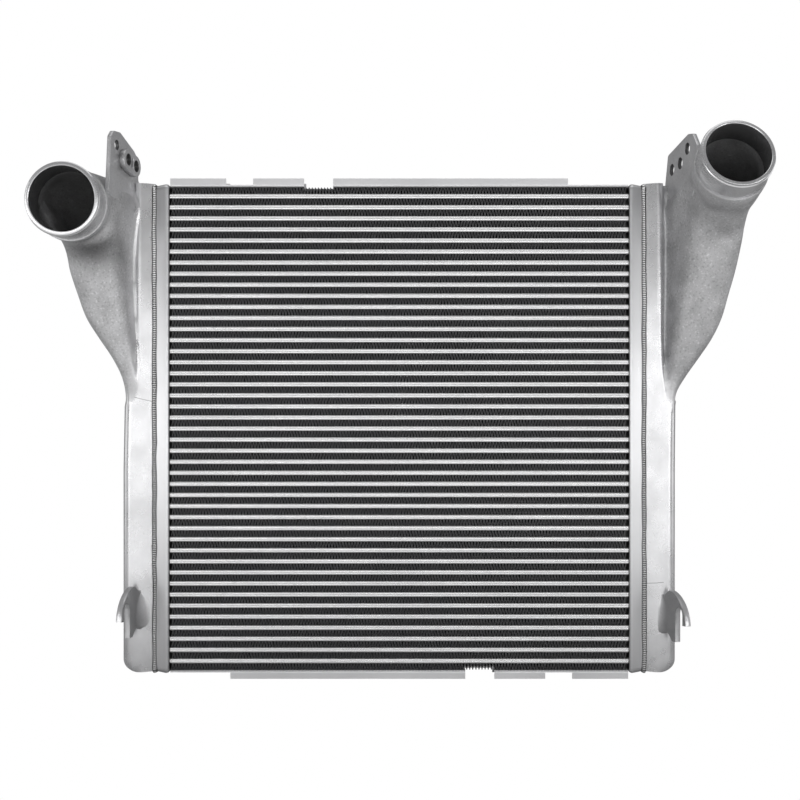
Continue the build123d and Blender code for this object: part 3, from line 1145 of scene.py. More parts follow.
@dataclass
class WeldBead:
    """Bead of overlapping ripples round the joint of header and tank.

    Args:
        side: Its side.
        header: Sizes of the header.
        core: Sizes of the stack.
        finish: Its finish.
        width: Width of the bead.
        proud: Height of its ripples.
        ripple: From one ripple to the next.
        rows: Rows of points on a ripple.
        columns: Points across the bead.
        bow: How far a ripple's edge lags behind its middle, as a share of a ripple.
        flat: Share of the height that stays between two ripples.
        lift: Height of the bead's foot.
        climb: Rise of the bead where the tank's rim slopes.
        wander: Spread of its sideways moves, of its height and of its width.
    """

    side: Side
    header: HeaderSize
    core: Core
    finish: Finish
    width: float = 6.0
    proud: float = 2.0
    ripple: float = 2.7
    rows: int = 6
    columns: int = 11
    bow: float = 0.42
    flat: float = 0.45
    lift: float = 0.2
    climb: float = 1.7
    wander: tuple[float, float, float] = (0.45, 0.16, 0.12)

    def build(self) -> bpy.types.Object:
        """Ripples along the joint's ring.

        The height above the joint is half an ellipse across the bead, times a saw of rounded teeth along it.
        The teeth are bent into crescents by shifting them with the square of the distance from the middle.
        Slow noise moves the bead sideways and changes its height. The bead climbs towards the tank only where
        the tank's rim slopes, at the front and the back. The foot of each tooth and the edges are dark:
        painted shade in the valleys between ripples and at the bead's toes.

        Returns:
            The bead's object.
        """
        size = self.header
        ring = rectangle_ring(
            size.depth / 2 - size.draft, size.height / 2 - size.draft, 5.0, self.core.middle, 8
        )
        loop = np.vstack([ring, ring[:1]])
        steps = np.linalg.norm(np.diff(loop, axis=0), axis=1)
        reach = np.concatenate([[0], np.cumsum(steps)])
        total = reach[-1]
        ripples = int(total / self.ripple)
        along = np.linspace(0, total, ripples * self.rows, endpoint=False)
        y = np.interp(along, reach, loop[:, 0])
        z = np.interp(along, reach, loop[:, 1])
        after, before = (along + 0.5) % total, (along - 0.5) % total
        ahead = np.interp(after, reach, loop[:, 0]) - np.interp(before, reach, loop[:, 0])
        above = np.interp(after, reach, loop[:, 1]) - np.interp(before, reach, loop[:, 1])
        length = np.hypot(ahead, above)
        outward = np.stack([above / length, -ahead / length], axis=1)
        rng = np.random.default_rng(11 + self.side.value)
        wander, height, width = (
            self.slow(rng, along, total, knots, size) for knots, size in zip((60, 45, 70), self.wander)
        )
        across = np.linspace(-1, 1, self.columns)
        phase = along[:, None] / self.ripple * (ripples * self.ripple / total) + self.bow * across**2
        tooth = 1 - (phase % 1.0) ** 1.6
        dome = np.sqrt(np.clip(1 - across**2, 0, 1))
        crest = self.proud * (1.0 + height[:, None]) * dome * (self.flat + (1 - self.flat) * tooth)
        climb = self.climb * np.abs(outward[:, :1])
        lift = self.lift + climb * (across + 1) + crest
        centre = size.joint + 0.4 + wander[:, None]
        out = centre + across * self.width / 2 * (1.0 + width[:, None]) * (1 + 0.1 * (tooth - 0.5))
        points = spread(
            self.side.value * out, y[:, None] + outward[:, :1] * lift, z[:, None] + outward[:, 1:] * lift
        )
        # Painted shade at the foot of each ripple and along the bead's toes
        dark = np.clip(risen(phase % 1.0, 0.45, 0.2) + risen(np.abs(across), 0.7, 0.2), 0, 1)
        shell = sheet_shell(np.concatenate([points, points[:1]]))
        shell = shell.marked(dark=np.concatenate([dark, dark[:1]]).ravel())
        if self.side is Side.RIGHT:
            shell.faces = [block[:, ::-1] for block in shell.faces]
        label = f"{self.side.label}_weld_bead"
        return add_piece(f"{label}_ripples", shell, self.finish, (label,))

    @staticmethod
    def slow(
        rng: np.random.Generator, along: np.ndarray, total: float, knots: int, size: float
    ) -> np.ndarray:
        """Smooth closed noise along the bead.

        Args:
            rng: Source of random numbers.
            along: Places along the bead.
            total: Length of the bead.
            knots: Number of free values.
            size: Spread of the values.

        Returns:
            Noise at each place.
        """
        values = rng.normal(0, size, knots)
        places = np.linspace(0, total, knots + 1)
        return np.interp(along, places, np.append(values, values[0]))


# Tanks


@dataclass
class TankPieces:
    """One cast tank, with its machined port. Sizes are in millimetres, and shades are dark marks of painted
    shade.

    Args:
        size: What differs between the two tanks.
        header: The tray that the tank is welded to.
        cast_finish: Finish of the casting.
        machined_finish: Finish of the port's machined end.
        wall: Wall of the duct.
        voxel: Size of a cell of the wrapped skin.
        ring_steps: Points on a corner of the duct's rings, less one.
        bottom: Height of the tank's lower end.
        top: Height of its upper end.
        plenum_outer: Distance out of the plenum's outer side.
        lower_outer: The same for the lower box.
        lower_top: Height of the lower box's top.
        half_depth: Half the depth of both boxes.
        rim_slope: Width of the slope between the joint and the full depth.
        end_corner: Radius of the lower box's outer end corner.
        neck_radius: Radius of the cast neck.
        bore_radius: Radius of the port's bore.
        land_radius: Radius of its machined end.
        bead_radius: Radius of the bead that holds the hose.
        wall_lean: Lean of the duct's wall towards the core for each millimetre below lean_top.
        lean_top: Height below which that wall leans.
        plate_cover: How far the crisp ear and hook stand off the wrapped skin.
        box_cover: The same for the crisp boxes.
        flare: Levels and extra distances out of the plenum's outer side.
        shade_levels: Levels between which the shade of the plenum's rim grows.
        rim_shade: That shade.
        plenum_corner: Radius of the plenum's outer corners.
        lower_corner: Radius of the lower box's outer corners.
        web_back: Depth of the web's back.
        duct_front: Depth of the duct's front up to front_start.
        front_start: Height from which the front leans out.
        front_lean: Its lean for each millimetre above.
        duct_rows: Rings along the duct.
        neck: Length of the straight neck behind the machined end.
        ear_sheet: Thickness of the ear.
        ear_corner: Radius of its corners.
        boss_radius: Radius of the boss's ends.
        boss_height: Height of the boss.
        pocket: Half width and half height of the pocket in the boss.
        hole_shade: Shade of the holes' walls.
        foot_shade: Shade of the boss's foot.
        root_cover: How far the ear's root lies inside the ear.
        root_top: Height of the root's top.
        hook_sheet: Thickness of the hook.
        hook_shade: Shade of its faces.
        root_reach: Reach of the blend between hook and tank.
        smooth_rounds: Rounds that relax the skin.
        hold: Distance from the joint over which the skin is held, and the reach in which it comes free.
        loose: The same in height, from the stiff lower box to the duct.
        stiff: How far the lower box is drawn, as a share of the duct.
        sandy_out: Start and reach, away from the core, of the sandy skin.
        sandy_up: The same in height.
        cap: Radius and depth of the skin that is cut out of the port.
        passage_shade: Shade of the passage.
        hollow: Middle of the painted shade in the hollow below the left port.
        hollow_reach: Its size along each axis.
        hollow_shade: Its shade.
    """

    size: TankSize
    header: HeaderSize
    cast_finish: Finish
    machined_finish: Finish
    wall: float = 5.5
    voxel: float = 1.9
    ring_steps: int = 9
    bottom: float = 2.0
    top: float = 719.4
    plenum_outer: float = 388.0
    lower_outer: float = 406.3
    lower_top: float = 400.0
    half_depth: float = 41.0
    rim_slope: float = 18.0
    end_corner: float = 18.0
    neck_radius: float = 52.7
    bore_radius: float = 45.3
    land_radius: float = 50.8
    bead_radius: float = 52.1
    wall_lean: float = 0.036
    lean_top: float = 690.0
    plate_cover: float = 0.12
    box_cover: float = 0.25
    flare: tuple[tuple[float, float], ...] = (
        (396.0, 11.0), (402.0, 10.5), (418.0, 8.4), (434.0, 5.6), (450.0, 3.2), (468.0, 1.4), (490.0, 0.3),
        (525.0, 0.0), (580.0, 0.0),
    )
    shade_levels: tuple[float, float] = (525.0, 580.0)
    rim_shade: float = 0.30
    plenum_corner: float = 10.0
    lower_corner: float = 14.0
    web_back: float = 30.0
    duct_front: float = -40.0
    front_start: float = 401.0
    front_lean: float = 0.243
    duct_rows: int = 90
    neck: float = 16.0
    ear_sheet: float = 6.0
    ear_corner: float = 6.0
    boss_radius: float = 15.0
    boss_height: float = 9.0
    pocket: tuple[float, float] = (3.4, 8.6)
    hole_shade: float = 0.80
    foot_shade: float = 0.85
    root_cover: float = 0.5
    root_top: float = 708.0
    hook_sheet: float = 8.8
    hook_shade: float = 0.40
    root_reach: float = 17.0
    smooth_rounds: int = 48
    hold: tuple[float, float] = (2.5, 6.0)
    loose: tuple[float, float] = (405.0, 60.0)
    stiff: float = 0.12
    sandy_out: tuple[float, float] = (386.0, 12.0)
    sandy_up: tuple[float, float] = (400.0, 40.0)
    cap: tuple[float, float] = (48.0, 6.0)
    passage_shade: float = 0.40
    hollow: tuple[float, float, float] = (-436.0, -100.0, 613.0)
    hollow_reach: tuple[float, float, float] = (38.0, 70.0, 28.0)
    hollow_shade: float = 0.75

    @property
    def sign(self) -> int:
        """Sign of X on this side."""
        return self.size.side.value

    def wall_out(self, depth: float, height: float = 1000.0) -> float:
        """Distance out of the duct's wall next to the core, which carries on in the ear.

        Below the ear the wall leans towards the core.

        Args:
            depth: Depth of the place.
            height: Height of the place.

        Returns:
            The distance.
        """
        out, start, swing = self.size.ear
        lean = self.wall_lean * max(self.lean_top - height, 0.0)
        return out + (start - depth) * math.tan(math.radians(swing)) - lean

    def mouth(self, back: float = 0.0) -> Frame:
        """Frame across the port, at a distance behind its mouth, with Z along its axis.

        Args:
            back: Distance behind the mouth.

        Returns:
            Frame with X away from the core and Y up.
        """
        port = self.size.port
        lean = math.radians(port.tilt)
        swing = math.radians(port.turn)
        flow = np.array([
            self.sign * math.sin(lean) * math.sin(swing), -math.sin(lean) * math.cos(swing), math.cos(lean)
        ])
        flow /= np.linalg.norm(flow)
        outwards = np.array([self.sign, 0.0, 0.0]) - flow * flow[0] * self.sign
        outwards /= np.linalg.norm(outwards)
        up = np.cross(flow, outwards)
        up *= math.copysign(1.0, up[2])
        origin = np.array([self.sign * port.out, port.depth, port.height]) - back * flow
        return Frame(origin, outwards, up)

    def flow(self) -> np.ndarray:
        """Unit vector out of the port."""
        frame = self.mouth()
        return frame.out * math.copysign(1.0, -frame.out[1])

    def bend_ring(
        self, lean_degrees: float, height: float, sizes: tuple[float, ...], inset: float
    ) -> np.ndarray:
        """Ring round the duct on a plane through the middle of its bend.

        Args:
            lean_degrees: Tilt of the plane.
            height: Height of the plane at the bend's middle.
            sizes: Near and far side, outer side near and far, and corner.
            inset: Wall to leave out, or 0 for the outside.

        Returns:
            Array of ring points.
        """
        near, far, outer_near, outer_far, corner = sizes
        lean = math.radians(lean_degrees)
        depth = self.size.bend[0]
        near += inset
        far -= inset
        inner_near = self.wall_out(depth + near * math.cos(lean), height + near * math.sin(lean)) + inset
        inner_far = self.wall_out(depth + far * math.cos(lean), height + far * math.sin(lean)) + inset
        outer_near -= inset
        outer_far -= inset
        limit = 0.45 * (outer_near - inner_near)
        corner = min(max(corner - inset, corner / 3), limit)
        soft = min(corner * 1.5, limit)
        step = np.linspace(0, math.pi / 2, self.ring_steps + 1)
        parts = []
        for quarter, (across, away, side_in, side_near, radius) in enumerate((
            (inner_near, near, 1, 1, soft), (outer_near, near, -1, 1, corner),
            (outer_far, far, -1, -1, corner), (inner_far, far, 1, -1, corner),
        )):
            angle = math.pi + quarter * math.pi / 2 + step
            parts.append(arc(angle, radius, (across + side_in * radius, away + side_near * radius)))
        out, up = np.vstack(parts).T
        return spread(self.sign * out, depth + up * math.cos(lean), height + up * math.sin(lean))

    def round_ring(self, back: float, radius: float) -> np.ndarray:
        """Ring round the neck in the same order as the duct's rings.

        Args:
            back: Distance behind the mouth.
            radius: Radius of the ring.

        Returns:
            Array of ring points.
        """
        count = 4 * (self.ring_steps + 1)
        angle = 2 * math.pi * (np.arange(count) - self.ring_steps / 2) / count + 1.25 * math.pi
        return self.mouth(back).place(arc(angle, radius))

    def duct_rings(self, inset: float) -> np.ndarray:
        """Rings up the duct, smoothed through the stations.

        A cubic runs through the same point of all stations. Its slope at a station is the one between the
        stations on both sides, by distance along the duct.

        Args:
            inset: Wall to leave out, or 0 for the outside.

        Returns:
            Array of rings.
        """
        depth, height = self.size.bend
        stations = []
        rise = self.size.rise[2:] if inset else self.size.rise
        for level, outer, corner in rise:
            front = min(self.duct_front, self.duct_front - self.front_lean * (level - self.front_start))
            sizes = (front - depth, self.half_depth - 0.5 - depth, outer, outer, corner)
            stations.append(self.bend_ring(0.0, level, sizes, inset))
        for lean, *sizes in self.size.turns:
            stations.append(self.bend_ring(lean, height, tuple(sizes), inset))
        radius = self.bore_radius if inset else self.neck_radius
        land = self.size.port.land
        for back in (land + self.neck, land):
            stations.append(self.round_ring(back, radius))
        rings = np.array(stations)
        spacing = np.linalg.norm(np.diff(rings.mean(axis=1), axis=0), axis=1)
        reach = np.concatenate([[0], np.cumsum(spacing)])
        slope = np.gradient(rings, reach, axis=0)
        at = np.linspace(0, reach[-1], self.duct_rows)
        index = np.clip(np.searchsorted(reach, at, side="right") - 1, 0, len(reach) - 2)
        gap = (reach[index + 1] - reach[index])[:, None, None]
        t = ((at - reach[index]) / (reach[index + 1] - reach[index]))[:, None, None]
        return (
            (2 * t**3 - 3 * t**2 + 1) * rings[index] + (t**3 - 2 * t**2 + t) * gap * slope[index]
            + (3 * t**2 - 2 * t**3) * rings[index + 1] + (t**3 - t**2) * gap * slope[index + 1]
        )

    def oriented(self, rings: np.ndarray) -> np.ndarray:
        """Turns rings round on the left, so that faces point outwards on both sides."""
        return rings if self.sign > 0 else rings[:, ::-1]

    def plenum_box(self, cover: float = 0.0) -> Shell:
        """Upright box next to the header, whose outer side flares out into the foot of the duct.

        Args:
            cover: Extra thickness all round.

        Returns:
            The closed box, with painted shade on the upper part of its rim.
        """
        levels = np.array([self.bottom, *(level for level, _ in self.flare), self.top])
        outer = self.plenum_outer + np.array([2.0, *(extra for _, extra in self.flare), 0.0])
        if cover:
            levels, outer = levels[1:], outer[1:]
        shell = tube_shell(self.oriented(self.box_rings(outer, self.plenum_corner, levels, cover)))
        # Painted shade that grows towards the top of the rim beside the header
        rim = np.abs(shell.points[:, 0]) < self.header.joint + self.rim_slope + 1.0
        low, high = self.shade_levels
        rise = risen(shell.points[:, 2], low, high - low)
        return shell.marked(dark=self.rim_shade * rim * rise)

    def box_rings(
        self, outer: np.ndarray, corner: float, levels: np.ndarray, cover: float = 0.0
    ) -> np.ndarray:
        """Rings of an upright box with a drafted rim at the joint.

        Args:
            outer: Distance out of its outer side at each level.
            corner: Radius of its outer corners.
            levels: Heights of the rings.
            cover: Extra thickness at the front, the back and the outer side.

        Returns:
            Array of rings.
        """
        rim = self.header.depth / 2 - self.header.draft + cover
        side = self.half_depth + cover
        outer = outer + cover
        joint = self.header.joint
        turn = np.linspace(0, math.pi / 2, 7)
        rings = []
        for distance, level in zip(outer, levels):
            radius = min(corner, (distance - joint - self.rim_slope) * 0.7)
            front = np.stack([
                distance - radius + radius * np.sin(turn), -side + radius - radius * np.cos(turn)
            ], axis=1)
            start = np.array([[joint, -rim], [joint + self.rim_slope, -side]])
            half = np.vstack([start, front])
            rings.append(self.level_ring(np.vstack([half, half[::-1] * [1, -1]]), level))
        return np.array(rings)

    def level_ring(self, plan: np.ndarray, level: float) -> np.ndarray:
        """Ring at one height.

        Args:
            plan: Points as distance out and depth.
            level: Height of the ring.

        Returns:
            Array of points in space.
        """
        return spread(self.sign * plan[:, 0], plan[:, 1], level)

    def lower_box(self, cover: float = 0.0) -> Shell:
        """Lower box, whose outer end corner at the bottom is a quarter of a circle.

        Args:
            cover: Extra thickness all round.

        Returns:
            The closed box.
        """
        turn = np.linspace(0.15, math.pi / 2, 9)
        levels = self.bottom + self.end_corner * (1 - np.cos(turn))
        levels = np.concatenate([[self.bottom], levels, [300.0, self.lower_top - 8, self.lower_top]])
        curve = self.lower_outer - self.end_corner * (1 - np.sin(turn))
        top = self.size.rise[1][1]
        above = [self.lower_outer, (self.lower_outer + top) / 2, top]
        outer = np.concatenate([[self.lower_outer - self.end_corner], curve, above])
        levels[0] -= cover
        return tube_shell(self.oriented(self.box_rings(outer, self.lower_corner, levels, cover)))

    def web(self) -> Shell:
        """Solid web at the back of the valley between the plenum and the duct.

        Returns:
            The closed web.
        """
        start = self.size.ear[1]
        inner = self.plenum_outer - 3 * self.wall
        back = self.web_back
        near, far = self.wall_out(start) + self.wall, self.wall_out(back) + self.wall
        plan = np.array([[inner, start], [near, start], [far, back], [inner, back]])
        rings = np.array([self.level_ring(plan, level) for level in (self.lower_top - 10, self.top)])
        return tube_shell(self.oriented(rings))

    def plate_frame(self, out: float, depth: float, swing: float) -> Frame:
        """Upright frame of an ear or a hook: X runs towards the engine and Y is height.

        Args:
            out: Distance out of its origin.
            depth: Depth of its origin.
            swing: Turn of its X away from the core, in degrees.

        Returns:
            The frame.
        """
        turn = math.radians(swing)
        along = np.array([self.sign * math.sin(turn), -math.cos(turn), 0.0])
        return Frame(np.array([self.sign * out, depth, 0.0]), along, UP)

    def ear(self, cover: float = 0.0) -> list[Shell]:
        """Ear plate with its holes, and a raised boss on one side.

        Args:
            cover: Extra thickness on each face.

        Returns:
            The plate, and the boss where there is one.
        """
        frame = self.plate_frame(*self.size.ear)
        holes = [circle_outline((v, z), radius) for v, z, radius in self.size.ear_holes]
        outline = rounded_outline(list(self.size.ear_outline), self.ear_corner)
        low, high = sorted((self.sign * cover, -self.sign * (self.ear_sheet + cover)))
        shells = [plate_shell(frame, outline, holes, low, high)]
        if self.size.boss:
            (v0, z0), (v1, z1) = self.size.boss
            lean = math.atan2(z1 - z0, v1 - v0)
            turn = np.linspace(math.pi / 2, 3 * math.pi / 2, 20) + lean
            half_round = arc(turn, self.boss_radius)
            start, end = [v0, z0] + half_round, [v1, z1] - half_round
            low, high = sorted((-self.sign * 2.0, self.sign * (self.boss_height + cover)))
            rims = [circle_outline((v, z), r) for v, z, r in self.size.ear_holes[:2]]
            slim = circle_outline((0.0, 0.0), 1.0, 24) * self.pocket
            along = np.array([math.cos(lean), math.sin(lean)])
            across = np.array([-along[1], along[0]])
            middle = np.array([(v0 + v1) / 2, (z0 + z1) / 2])
            rims.append(middle + slim[:, :1] * along + slim[:, 1:] * across)
            shells.append(plate_shell(frame, np.vstack([start, end]), rims, low, high))
        return [shell.marked(dark=self.ear_shade(frame, shell.points)) for shell in shells]

    def ear_shade(self, frame: Frame, points: np.ndarray) -> np.ndarray:
        """Dark mark of painted shade for the walls of the ear's holes and for the foot of its boss.

        Args:
            frame: Plane of the ear.
            points: Points of the ear, or of its boss, which alone rises well above the plane.

        Returns:
            The mark of each point, 0 away from the holes and the foot.
        """
        off = points - frame.origin
        across, level = off @ frame.right, off @ frame.up
        rise = self.sign * (off @ frame.out)
        # Painted shade at the boss's foot and, below, on the walls of the holes
        dark = np.where((rise.max() > 2.0) & (rise < 1.0), self.foot_shade, 0.0)
        for v, z, radius in self.size.ear_holes:
            dark[np.hypot(across - v, level - z) < radius + 0.3] = self.hole_shade
        return dark

    def ear_root(self) -> Shell:
        """Short block inside the ear's foot, which gives the skin its blend round the ear.

        Returns:
            The closed block.
        """
        frame = self.plate_frame(*self.size.ear)
        near, far = self.size.ear_outline[0][0] + 1.0, self.size.ear_outline[-1][0] + 4.0
        low, high = sorted((-self.sign * self.root_cover, -self.sign * (self.ear_sheet - self.root_cover)))
        foot = self.lean_top - 6
        flat = np.array([[near, foot], [far, foot], [far, self.root_top], [near, self.root_top]])
        return tube_shell(np.array([frame.place(flat, low), frame.place(flat, high)]))

    def collar(self) -> Shell:
        """Cast end of the neck, turned about the port's axis, with a crisp shoulder above its land.

        Returns:
            The open skin.
        """
        land = self.size.port.land
        radius = self.neck_radius
        profile = np.array([
            [-land - 19.0, radius - 1.6], [-land - 14.0, radius], [-land - 1.0, radius],
            [-land - 0.2, radius - 0.5], [-land, self.land_radius - 0.6],
        ])
        return self.turned(profile).marked(coarse=0.7)

    def hook(self, cover: float = 0.0) -> Shell:
        """Hook plate with a slot that opens downwards between its two prongs, and an edge all round that
        stays brighter than the faces, which carry painted shade.

        Args:
            cover: Extra thickness on each face, which is also how far the edge stands out.

        Returns:
            The plate and its edge.
        """
        out, depth, swing, top = self.size.hook
        frame = self.plate_frame(out, depth, swing)
        turn = np.linspace(0, 1, 12)
        crown = np.stack([
            20 + 46 * np.sin(turn * math.pi / 2) ** 1.05, top - 46 * (1 - np.cos(turn * math.pi / 2)) ** 0.9
        ], axis=1)
        arch = arc(np.linspace(0, math.pi, 12), 10.0, (47.0, top - 31.5))
        inner = np.array([
            [37, top - 72.5], [28, top - 72.5], [19, top - 64], [10, top - 60],
            [-7, top - 64], [-7, top - 18], [8, top - 6.5],
        ])
        outline = np.vstack([crown, [[57, top - 46.5]], arch, inner])
        low, high = sorted((self.sign * cover, -self.sign * (self.hook_sheet + cover)))
        way = np.roll(outline, -1, axis=0) - np.roll(outline, 1, axis=0)
        side = np.stack([way[:, 1], -way[:, 0]], axis=1) / np.linalg.norm(way, axis=1)[:, None]
        area = np.sum(outline[:, 0] * np.roll(outline[:, 1], -1) - outline[:, 1] * np.roll(outline[:, 0], -1))
        edge = plate_shell(frame, outline + side * math.copysign(cover, area), [], low + 0.5, high - 0.5)
        # Painted shade on the hook's faces; the edge round it keeps the plain tone
        return plate_shell(frame, outline, [], low, high).marked(dark=self.hook_shade).joined(edge)

    def hook_root(self) -> Shell:
        """Blend between the hook's inner face and the front of the tank.

        In plan its edge is a curve of the second degree that touches the tank and the hook. Its reach grows
        from nothing at the hook's top, as a buttress does, and closes again at its foot.

        Returns:
            The blend, with painted shade as dark as the hook's at the hook, fading to none at the tank.
        """
        out, depth, swing, top = self.size.hook
        turn = math.radians(swing)
        rim = self.header.depth / 2 - self.header.draft
        levels = top - np.array([8.0, 18.0, 30.0, 44.0, 56.0, 62.0, 65.0])
        reaches = self.root_reach * np.array([0.05, 0.50, 0.88, 1.0, 0.92, 0.60, 0.08])
        t = np.linspace(0, 1, 12)[:, None]
        rings = []
        for level, reach in zip(levels[::-1], reaches[::-1]):
            start_out = out - reach
            fall = min(max(start_out - self.header.joint, 0.0) / self.rim_slope, 1.0)
            start = np.array([start_out, -(rim + fall * (self.half_depth - rim)) - 0.27])
            corner = np.array([out, depth - 0.3])
            end = corner + reach * np.array([math.sin(turn), -math.cos(turn)])
            curve = (1 - t) ** 2 * start + 2 * t * (1 - t) * corner + t**2 * end
            plan = np.vstack([curve, end + [4.0, 1.0], [[out + 6.0, depth + 4.0]]])
            rings.append(self.level_ring(plan, level))
        shell = tube_shell(self.oriented(np.array(rings)))
        # Painted shade that fades from the hook's to none towards the tank
        near = np.clip((np.abs(shell.points[:, 0]) - out + self.root_reach * 0.7) / self.root_reach, 0, 1)
        return shell.marked(coarse=0.2, dark=self.hook_shade * near**1.5)

    def casting(self) -> bpy.types.Object:
        """The whole casting as one skin.

        The closed bodies are laid over each other and wrapped by a voxel skin, which is then relaxed, so that
        every inner corner gets the soft blend of a sand casting. The cap in the port is taken out and the
        passage behind it is put in.

        Returns:
            The casting's object.
        """
        bodies = [
            self.plenum_box(),
            self.lower_box(),
            self.web(),
            tube_shell(self.oriented(self.duct_rings(0.0))),
            self.ear_root(),
        ]
        holder = put("cast_bodies", make_mesh("cast_bodies", bodies[0].joined(*bodies[1:])))
        wrap = holder.modifiers.new("wrap", "REMESH")
        wrap.mode = "VOXEL"
        wrap.voxel_size = self.voxel * MM
        skin = settled(holder)
        out = np.abs(skin.points[:, 0]) - self.header.joint
        free = self.stiff + (1 - self.stiff) * risen(skin.points[:, 2], *self.loose)
        skin.points = relaxed(skin, self.smooth_rounds, risen(out, *self.hold) * free)
        land = self.size.port.land
        frame = self.mouth(land)
        flow = self.flow()
        kept = []
        for block in skin.faces:
            centre = skin.points[block].mean(axis=1) - frame.origin
            ahead = centre @ flow
            radius = np.linalg.norm(centre - ahead[:, None] * flow, axis=1)
            kept.append(block[~((radius < self.cap[0]) & (ahead > -self.cap[1]))])
        skin = Shell(skin.points, kept)
        inside = self.oriented(self.duct_rings(self.wall))[:, ::-1]
        passage = tube_shell(inside, cap_first=True, cap_last=False)
        label = f"{self.size.side.label}_tank"
        crisp = [shell.marked(coarse=0.4) for shell in self.ear(self.plate_cover)]
        crisp.append(self.hook(self.plate_cover).marked(coarse=0.15))
        # The plenum's cover is thinner than the lower box's, so their faces never share a plane
        crisp += [self.hook_root(), self.plenum_box(self.box_cover - 0.08), self.lower_box(self.box_cover)]
        coarse = risen(np.abs(skin.points[:, 0]), *self.sandy_out) * risen(skin.points[:, 2], *self.sandy_up)
        # Painted shade in the hollow below the left port, on the left tank only
        away = (skin.points - self.hollow) / self.hollow_reach
        hollow = self.hollow_shade * np.exp(-np.sum(away**2, axis=1)) * (self.sign < 0)
        # Painted shade inside the passage
        passage = passage.marked(coarse=1.0, dark=self.passage_shade)
        whole = skin.marked(coarse=coarse, dark=hollow).joined(passage, self.collar(), *crisp)
        return add_piece(f"{label}_casting", whole, self.cast_finish, (label,), sharp=40)

    def port_end(self) -> bpy.types.Object:
        """Machined end of the port, turned about its axis.

        Returns:
            The end's object.
        """
        land = self.size.port.land
        turn = np.linspace(0, math.pi, 9)
        bead_back = np.linspace(-9.4, -4.0, 9)
        bead = self.land_radius + (self.bead_radius - self.land_radius) * np.clip(np.sin(turn) * 1.6, 0, 1)
        profile = np.vstack([
            [[-land - 9, self.bore_radius + 0.2], [-2.0, self.bore_radius], [-0.6, self.bore_radius + 0.4],
             [0.0, self.bore_radius + 1.2], [0.0, self.land_radius - 1.2], [-0.5, self.land_radius - 0.3],
             [-2.5, self.land_radius]],
            np.stack([bead_back, bead], axis=1)[::-1],
            [[-land + 1.2, self.land_radius]],
            [[-land - back, self.land_radius - 0.4] for back in (0, 3)],
        ])
        # Painted shade on the bore's wall, darkest deepest in
        inside = np.zeros(len(profile))
        inside[:2] = 0.50, 0.30
        name = f"{self.size.side.label}_port_end"
        return add_piece(name, self.turned(profile, inside), self.machined_finish, sharp=35)

    def turned(self, profile: np.ndarray, dark: np.ndarray | float = 0.0) -> Shell:
        """Skin made by turning a profile about the port's axis.

        Args:
            profile: Array of points as place along the axis, 0 at the mouth, and radius.
            dark: Dark mark, one for all or one for each point of the profile.

        Returns:
            The open skin.
        """
        angle = np.linspace(0, 2 * math.pi, 144, endpoint=False)
        frame = self.mouth()
        flow = self.flow()
        round_way = np.cos(angle)[:, None] * frame.right + np.sin(angle)[:, None] * frame.up
        rings = frame.origin + profile[:, :1, None] * flow + profile[:, 1:2, None] * round_way[None]
        handed = float(np.dot(np.cross(frame.right, frame.up), flow))
        if handed > 0:
            rings = rings[:, ::-1]
        marks = np.repeat(np.broadcast_to(dark, len(profile)), len(angle))
        return tube_shell(rings, cap_first=False, cap_last=False).marked(dark=marks)


# Studio


